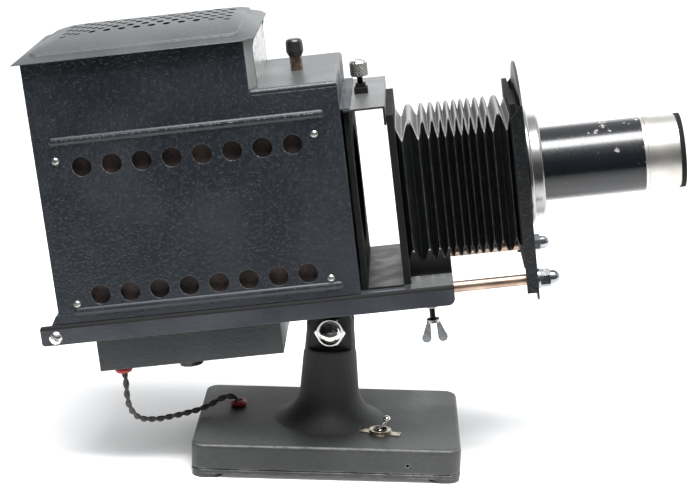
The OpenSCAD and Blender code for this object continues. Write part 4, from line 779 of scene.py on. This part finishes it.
# The sides' folded strips at the upper front are paler, a painted highlight; the shelf's lips take the
# sides' dark tone as painted shade.
repaint(side_enamel, spread(looking(side_enamel.node_tree, rail_axis), 0.75, 0.88), strip_highlight_tone)
calm_grain(side_enamel)
dress(side_enamel, "house_side_left", "house_side_right")
# Painted shade: the shelf's lips, which look to the sides, get the sides' dark tone.
shade_sides(shelf_enamel, lip_shade_tone)
dress(shelf_enamel, "house_shelf")


# Baffles. Bent strips inside each row of round vents, which let air through and keep light in.
# Heat has turned their black paint a dull brown, and steel screws hold their ends.
def scorched_paint():
    """Black paint browned by heat, dusty and quite matt."""
    material, tree, shader = blank_material("scorched paint", Specular_IOR_Level=0.3)
    where = object_place(tree)
    burn = clouds(where, 22 * mm, 5.0, 0.6)
    fine = clouds(where, 1.2 * mm, 3.0)
    tone = two_tone(spread(burn, 0.35, 0.7), (0.045, 0.034, 0.032), (0.15, 0.105, 0.095))
    dusty = two_tone(spread(fine, 0.55, 0.8), tone, (0.19, 0.16, 0.15))
    connect(shader, Base_Color=dusty, Roughness=spread(burn, 0.3, 0.7, 0.6, 0.8),
            Normal=relief_normal(fine, 0.25))
    return material


dress(scorched_paint(), "baffles")
dress(dull_steel, "baffle_screws")


# Upper front plate. A thin bright plate behind the folded flanges above the shelf.
# Plain nickelled sheet, slightly tarnished, with shade painted dark where its edges meet the flanges.
plate_nickel = metal(
    "plate nickel", (0.70, 0.70, 0.68), (0.44, 0.43, 0.41), (0.2, 0.34), patch=9 * mm, speck=0.4,
)
# Painted shade along the plate's edges, where they meet the flanges.
plate_edge_shade = use_group(plate_nickel.node_tree, edge_wear, Reach=1.6 * mm, Patch=4 * mm)["Worn"]
repaint(plate_nickel, plate_edge_shade, (0.02, 0.018, 0.016))
dress(plate_nickel, "upper_front_plate")


# Handle. A moulded knob on a turned post, by which the house is tipped back to change the lamp.
# The post is copper-plated steel gone brown.
dress(metal(
    "brown copper", (0.34, 0.24, 0.18), (0.14, 0.10, 0.08), (0.28, 0.45), patch=5 * mm, speck=0.4,
), "knob_post")


# Condenser. A cell with two thick lenses, flat sides out, that gathers the lamp's light onto the slide.
# The cell is a black-painted tube fixed to the stage plate, and the lenses are clear.
def matt_black():
    """Thin matt black paint, rubbed to grey metal on its edges."""
    material, tree, shader = blank_material("matt black", Specular_IOR_Level=0.25)
    hand = use_group(tree, handling, Patch=25 * mm)
    rub = use_group(tree, edge_wear, Reach=0.9 * mm)
    where = object_place(tree)
    tone = two_tone(hand["Cloud"], (0.003, 0.003, 0.003), (0.008, 0.008, 0.008))
    dusty = two_tone(product(hand["Specks"], 0.2), tone, (0.04, 0.04, 0.04))
    rubbed = two_tone(rub["Worn"], dusty, (0.06, 0.06, 0.06))
    connect(shader, Base_Color=rubbed, Roughness=spread(hand["Cloud"], 0.0, 1.0, 0.72, 0.9),
            Normal=relief_normal(clouds(where, 0.9 * mm, 3.0), 0.15, fold=0.6 * mm))
    return material


black_paint = matt_black()
dress(black_paint, "condenser_cell")
dress(glass_material("condenser glass", (0.95, 0.98, 0.96), 0.06),
      "condenser_lens_rear", "condenser_lens_front")


# Slide stage. A black plate on the house side and a bridge over the gap that takes the slide carrier.
# A square nut block on the bridge takes the carrier's clamping screw.
# The bridge is bent from thin plate, its pale enamel worn to dark iron along the edges.
bridge_enamel = enamel(
    "bridge enamel", (0.050, 0.052, 0.053), (0.085, 0.087, 0.086), (0.016, 0.014, 0.012),
    pebble=2.2 * mm, relief=0.15, rough=0.34, reach=2.2 * mm, fleck_and_glint=0.05, fold=1.2 * mm,
)
# Painted shade on the bridge's faces that look to the near and far sides.
shade_sides(bridge_enamel, (0.012, 0.011, 0.010))
dress(bridge_enamel, "stage_bridge")
dress(black_paint, "stage_plate", "bridge_block")


# Carrier screw. A knurled thumb screw turned from brass bar and nickelled, with a blackened shank.
# It goes down through the nut block to hold the slide carrier.
thumb_head_height = 13.6 * mm
thumb_head_radius = 7.8 * mm
thumb_shank_radius = 2.4 * mm
thumb_edge = 1.2 * mm
knurl_count = 16
knurl_depth = 0.8 * mm
knurl_row = 0.32 * mm
thumb_crown = 1.6 * thumb_edge
point_radius = 0.02 * mm
thumb_sides = 12 * knurl_count

rail_pivot = Vector(joints["head_tilt"]["pos_m"])
rail_slope = math.atan2(rail_axis.z, rail_axis.x)
rail_to_row = Matrix.Translation(rail_pivot) @ Matrix.Rotation(-rail_slope, 4, "Y")
row_to_rail = rail_to_row.inverted()


def rail_box(name):
    """Lowest and highest corner of a CAD node in the rail's own frame, with its origin at the tilt axis."""
    points = [row_to_rail @ vertex.co for vertex in nodes[name].data.vertices]
    low = Vector([min(point[k] for point in points) for k in range(3)])
    high = Vector([max(point[k] for point in points) for k in range(3)])
    return low, high


def rail_middle(name):
    """Middle of a CAD node's box in the rail's frame, as a place in the row frame."""
    low, high = rail_box(name)
    return rail_to_row @ ((low + high) / 2)


def mark_points(piece, name, values):
    """Gives each point of the piece a value that its material can read."""
    piece.data.attributes.new(name, "FLOAT", "POINT").data.foreach_set("value", values)


def point_mark(tree, name):
    """Value that each point of the piece was given under that name."""
    return place(tree, "ShaderNodeAttribute", attribute_name=name).outputs["Fac"]


def knurled_screw():
    """Points and faces of the screw, turned about an axis upright to the rail, and each point's grime."""
    low, high = rail_box("thumb_screw")
    middle = (low + high) / 2
    head = high.z - thumb_head_height
    shank, rim = thumb_shank_radius, thumb_head_radius
    rows = [(0.0, low.z), (shank - 0.6 * mm, low.z), (shank, low.z + 0.6 * mm)]
    rows += [(shank, head - 1.5 * mm), (shank + 1.2 * mm, head - 0.2 * mm), (rim - 1.8 * mm, head)]
    rows.append((rim - 0.9 * mm, head + 0.2 * mm))
    knurled = []
    grip_low = head + thumb_edge
    grip_high = high.z - thumb_crown
    steps = int((grip_high - grip_low) / knurl_row)
    for step in range(steps + 1):
        knurled.append((rim, grip_low + (grip_high - grip_low) * step / steps))
    crown = [(rim - 0.7 * mm, grip_high + 0.2 * mm), (rim - 0.9 * mm, grip_high + 1.0 * mm)]
    crown += [(rim - 1.8 * mm, high.z), (rim - 3.6 * mm, high.z)]
    crown += [(rim - 4.2 * mm, high.z - 0.4 * mm), (0.0, high.z - 0.5 * mm)]
    profile = [(r, z, False) for r, z in rows]
    profile += [(r, z, True) for r, z in knurled]
    profile += [(r, z, False) for r, z in crown]
    lean = knurl_count / (2 * rim)
    points, grime = [], []
    for radius, z, cut in profile:
        for k in range(thumb_sides):
            turn = 2 * math.pi * k / thumb_sides
            groove = 0.0
            if cut:
                right_hand = abs(math.sin(knurl_count * turn / 2 + lean * z))
                left_hand = abs(math.sin(knurl_count * turn / 2 - lean * z))
                groove = 1 - min(right_hand, left_hand)
            r = max(radius - knurl_depth * groove, point_radius)
            point = Vector((middle.x + r * math.cos(turn), middle.y + r * math.sin(turn), z))
            points.append(rail_to_row @ point)
            grime.append(groove if z > head - 0.1 * mm else 1.0)
    return points, ring_faces(len(profile), thumb_sides), grime


screw_points, screw_faces, screw_grime = knurled_screw()
carrier_screw = mesh_piece("carrier_screw", screw_points, screw_faces)
mark_points(carrier_screw, "grime", screw_grime)
knurled_nickel = metal("knurled nickel", (0.74, 0.74, 0.72), (0.56, 0.55, 0.52), (0.12, 0.2), speck=0.1)
knurl_grime = spread(point_mark(knurled_nickel.node_tree, "grime"), 0.5, 0.8)
repaint(knurled_nickel, knurl_grime, (0.012, 0.011, 0.010))
carrier_screw.data.materials.append(knurled_nickel)
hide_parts("thumb_screw")
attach(carrier_screw, "carrier_screw")


# Bellows frames. A flat frame at each end that the bellows is glued to, of sheet metal in matt black.
# The rear one stands on the rail, and the front one is screwed to the lens board.
dress(black_paint, "bellows_rear_frame", "bellows_front_frame")


# Front deck. The rail's top in front of the stage: painted shadow of the bellows, a painted highlight
# beside it.
# The rail's folded edges are painted dark and dull as shade along their whole length.
deck_lit_strip_width = 38 * mm
fold_shade_depth = 3.5 * mm
deck_highlight_tone = (0.11, 0.115, 0.11)
deck_shadow_tone = (0.004, 0.004, 0.004)
deck_shadow_rough = 0.85


def paint_deck_light_and_shade(material):
    """Paints the bellows' shadow black on the deck, a highlight on a strip beside it and shade on the
    folded edges.
    """
    tree = material.node_tree
    where = vector_math("SUBTRACT", object_place(tree), rail_pivot)
    edge = rail_box("rail")[1]
    start = rail_box("bellows_rear_frame")[1].x
    along = dot(where, rail_axis)
    above = dot(where, rail_up)
    across = calculate("ABSOLUTE", dot(where, (0, 1, 0)))
    top = spread(looking(tree, rail_up), 0.9, 0.97)
    deck = product(top, spread(along, start - 1 * mm, start))
    strip = spread(across, edge.y - deck_lit_strip_width - 2 * mm, edge.y - deck_lit_strip_width)
    bare = product(deck, strip)
    fold = spread(above, edge.z - fold_shade_depth - 0.5 * mm, edge.z - fold_shade_depth)
    fold_shade_mask = product(calculate("SUBTRACT", 1.0, top), fold)
    # Painted shadow under the bellows and painted shade on the folded edges, both black and dull.
    black = calculate("MAXIMUM", calculate("SUBTRACT", deck, bare), fold_shade_mask)
    # Painted highlight on the strip beside the bellows.
    repaint(material, bare, deck_highlight_tone)
    repaint(material, black, deck_shadow_tone)
    roughen(material, black, deck_shadow_rough)


paint_deck_light_and_shade(rail_enamel)


# Bellows. A square tube of thin black leather cloth, folded over card stiffeners into twelve pleats.
# Where the sides fold out the top and bottom fold in, and the ridges are rubbed grey.
# The folds lie unevenly: their widths, from the rear frame to the front one, are shares of the length.
fold_widths = (0.6, 2.0, 1.2, 1.1, 0.9, 1.0, 0.9, 0.8, 0.9, 1.0, 1.0, 1.7, 0.4)
pleat_depth = 12.6 * mm
fold_steps = 8
panel_steps = 10
corner_radius = 4.5 * mm
corner_steps = 6
leather_thickness = 0.9 * mm
crease_softness = 0.88
panel_slack = 0.4 * mm
slack_per_metre = 55


def fold_places():
    """Places of the creases along the bellows, from 0 to 1: out on the sides at odd ones, and its ends."""
    places = [0.0, fold_widths[0]]
    for width in fold_widths[1:-1]:
        places += [places[-1] + width / 2, places[-1] + width]
    places.append(places[-1] + fold_widths[-1])
    return [crease / places[-1] for crease in places]


crease_places = fold_places()
stations = len(crease_places) - 1


def fold_swing(station):
    """Swing of the wall along the bellows, from -1 to 1: out on the sides at odd stations."""
    if station < 1:
        return station
    if station > stations - 1:
        return stations - station
    soft = math.asin(crease_softness * math.sin(math.pi * (station - 0.5)))
    return soft / math.asin(crease_softness)


def top_swing(swing):
    """Swing of the top for one of the sides: round where the top folds out, sharp where it folds in."""
    return 2 * math.sin(math.pi / 4 * (1 - swing)) - 1


def pleat_outline(w, h):
    """Places round the tube at one station, as y, z and how much each faces sideways and up."""
    reach_y = w - corner_radius
    reach_z = h - corner_radius
    outline = []
    for quarter, (sy, sz) in enumerate([(1, 1), (-1, 1), (-1, -1), (1, -1)]):
        on_side = quarter % 2 == 0
        for step in range(panel_steps):
            t = 2 * step / panel_steps - 1
            y, z = (sy * w, sz * reach_z * t) if on_side else (sy * reach_y * t, sz * h)
            outline.append((y, z, 1.0 if on_side else 0.0, 0.0 if on_side else float(sz)))
        for step in range(corner_steps):
            turn = (quarter + step / corner_steps) * math.pi / 2
            y = sy * reach_y + corner_radius * math.cos(turn)
            z = sz * reach_z + corner_radius * math.sin(turn)
            outline.append((y, z, math.cos(turn)**2, math.sin(turn)))
    return outline


def pleated_skin():
    """Points and faces of the folded tube, and how much each point is on a ridge and faces up."""
    low, high = rail_box("bellows")
    middle_z = (low.z + high.z) / 2
    half_width = (high.y - low.y - pleat_depth) / 2
    half_height = (high.z - low.z - pleat_depth) / 2
    rings = stations * fold_steps + 1
    points, ridges, tops = [], [], []
    for ring in range(rings):
        before = crease_places[ring // fold_steps]
        after = crease_places[min(ring // fold_steps + 1, stations)]
        x = low.x + (high.x - low.x) * (before + (after - before) * (ring % fold_steps) / fold_steps)
        swing = fold_swing(ring / fold_steps)
        w = half_width + swing * pleat_depth / 2
        h = half_height + top_swing(swing) * pleat_depth / 2
        outline = pleat_outline(w, h)
        for y, z, sideways, upward in outline:
            slack = panel_slack * (1 - swing**2) * abs(noise.noise(Vector((x, y, z)) * slack_per_metre))
            y -= math.copysign(slack * sideways, y)
            z -= math.copysign(slack * (1 - sideways), z)
            points.append(rail_to_row @ Vector((x, y, middle_z + z)))
            ridges.append(max(0.0, swing * sideways, -swing * (1 - sideways)))
            tops.append(max(0.0, upward))
    return points, ring_faces(rings, len(outline)), ridges, tops


def leather_material():
    """Black leather cloth with a fine grain, dusty and faded on top, and rubbed along the ridges."""
    material, tree, shader = blank_material("pleated leather")
    where = object_place(tree)
    ridge = point_mark(tree, "ridge")
    top = point_mark(tree, "top")
    patch = clouds(where, 7 * mm, 5.0, 0.65)
    cells = {"Vector": where, "Scale": 1 / (0.9 * mm)}
    grain = place(tree, "ShaderNodeTexVoronoi", cells, feature="SMOOTH_F1").outputs["Distance"]
    tone = two_tone(patch, (0.005, 0.006, 0.006), (0.011, 0.012, 0.012))
    rub = product(spread(ridge, 0.9, 1.0), spread(patch, 0.3, 0.65))
    rubbed = two_tone(rub, tone, (0.040, 0.040, 0.039))
    dust = two_tone(patch, (0.105, 0.105, 0.102), (0.225, 0.225, 0.22))
    faded = two_tone(spread(top, 0.15, 0.65), rubbed, dust)
    connect(shader, Base_Color=faded, Roughness=spread(patch, 0.3, 0.7, 0.36, 0.5),
            Normal=relief_normal(grain, 0.2))
    return material


skin_points, skin_faces, skin_ridges, skin_tops = pleated_skin()
bellows = mesh_piece("pleated_bellows", skin_points, skin_faces)
mark_points(bellows, "ridge", skin_ridges)
mark_points(bellows, "top", skin_tops)
bellows.data.materials.append(leather_material())
thickness = bellows.modifiers.new("leather", "SOLIDIFY")
thickness.thickness = leather_thickness
thickness.offset = -1
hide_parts("bellows")
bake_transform(bellows)


# Lens board. An upright of folded sheet with a round top, in dark enamel, carried by two sliding rods.
# The rods are drawn copper, and zinc-plated cap nuts draw their ends up against the board.
# A wing screw with a blackened shank, below the rail, clamps the near rod.
dress(enamel(
    "board enamel", (0.004, 0.005, 0.006), (0.008, 0.009, 0.011), (0.050, 0.053, 0.056),
    pebble=2.6 * mm, relief=0.5, rough=0.44, fleck_and_glint=0.08,
), "lens_board")
dress(metal(
    "drawn copper", (0.48, 0.35, 0.27), (0.30, 0.21, 0.16), (0.34, 0.44), patch=18 * mm, speck=0.2,
), "rods")
zinc_plate = metal(
    "zinc plate", (0.38, 0.40, 0.42), (0.24, 0.25, 0.26), (0.16, 0.28), patch=5 * mm, speck=0.2,
)
dress(zinc_plate, "rod_nuts")
wing_zinc = zinc_plate.copy()
wing_arm = vector_math("SUBTRACT", object_place(wing_zinc.node_tree), rail_middle("wing_screw"))
wing_round = vector_math("CROSS_PRODUCT", wing_arm, rail_up)
wing_away = vector_math("LENGTH", wing_round, output="Value")
repaint(wing_zinc, spread(wing_away, 3.6 * mm, 3.0 * mm), (0.02, 0.019, 0.018))
dress(wing_zinc, "wing_screw")


# Lens mount. A spun nickel flange on the board, and a long sleeve in gloss black that the lens slides in.
# The enamel of the sleeve is chipped on top of its front end, and scratched all over.
def gloss_black():
    """Gloss black stove enamel with fine scratches, chipped on top of its front end."""
    material, tree, shader = blank_material("gloss black", Coat_Weight=0.15, Coat_Roughness=0.15)
    where = object_place(tree)
    cells = place(tree, "ShaderNodeTexVoronoi", {"Vector": where, "Scale": 1 / (6 * mm)})
    chance = place(tree, "ShaderNodeSeparateColor", {0: cells.outputs["Color"]}).outputs[0]
    ragged = calculate("SUBTRACT", clouds(where, 1.6 * mm, 4.0, 0.6), 0.5)
    offset = vector_math("SUBTRACT", where, rail_middle("lens_jacket"))
    forward = spread(dot(offset, rail_axis), 0.0, 22 * mm)
    upward = spread(dot(offset, rail_up), 2 * mm, 14 * mm)
    cluster = spread(product(forward, upward), 0.0, 1.0, -0.36, 0.06)
    spot_size = calculate("ADD", spread(chance, 0.5, 1.0, -0.2, 0.4), cluster)
    reach = calculate("ADD", cells.outputs["Distance"], product(ragged, 1.6))
    chip = spread(calculate("SUBTRACT", spot_size, reach), 0.0, 0.06)
    cloud = clouds(where, 30 * mm)
    tone = two_tone(cloud, (0.003, 0.004, 0.006), (0.008, 0.010, 0.013))
    bare = two_tone(spread(ragged, -0.15, 0.1), (0.42, 0.40, 0.38), (0.05, 0.04, 0.035))
    chipped = two_tone(chip, tone, bare)
    scratch = clouds(where, 3 * mm, 8.0, 0.75)
    scratched = spread(scratch, 0.4, 0.75, 0.19, 0.31)
    sheen = calculate("ADD", scratched, product(chip, 0.3))
    skin = relief_normal(calculate("SUBTRACT", 1.0, chip), 0.12, fold=0.5 * mm)
    connect(shader, Base_Color=chipped, Roughness=sheen, Normal=skin)
    return material


dress(metal(
    "spun nickel", (0.40, 0.40, 0.395), (0.30, 0.30, 0.29), (0.2, 0.28), patch=40 * mm, speck=0.05,
), "lens_flange")
dress(gloss_black(), "lens_jacket")


# Lens. A nickelled brass barrel with a black rim, and two glasses. It slides in the sleeve to focus.
# The plating is brushed by handling and warm where it has thinned.
dress(metal(
    "barrel nickel", (0.63, 0.62, 0.59), (0.50, 0.48, 0.45), (0.38, 0.46), patch=40 * mm, speck=0.1,
), "lens_barrel")
dress(black_paint, "lens_rim")
dress(glass_material("lens glass", (0.97, 0.98, 0.99), 0.03), "front_glass", "rear_glass")
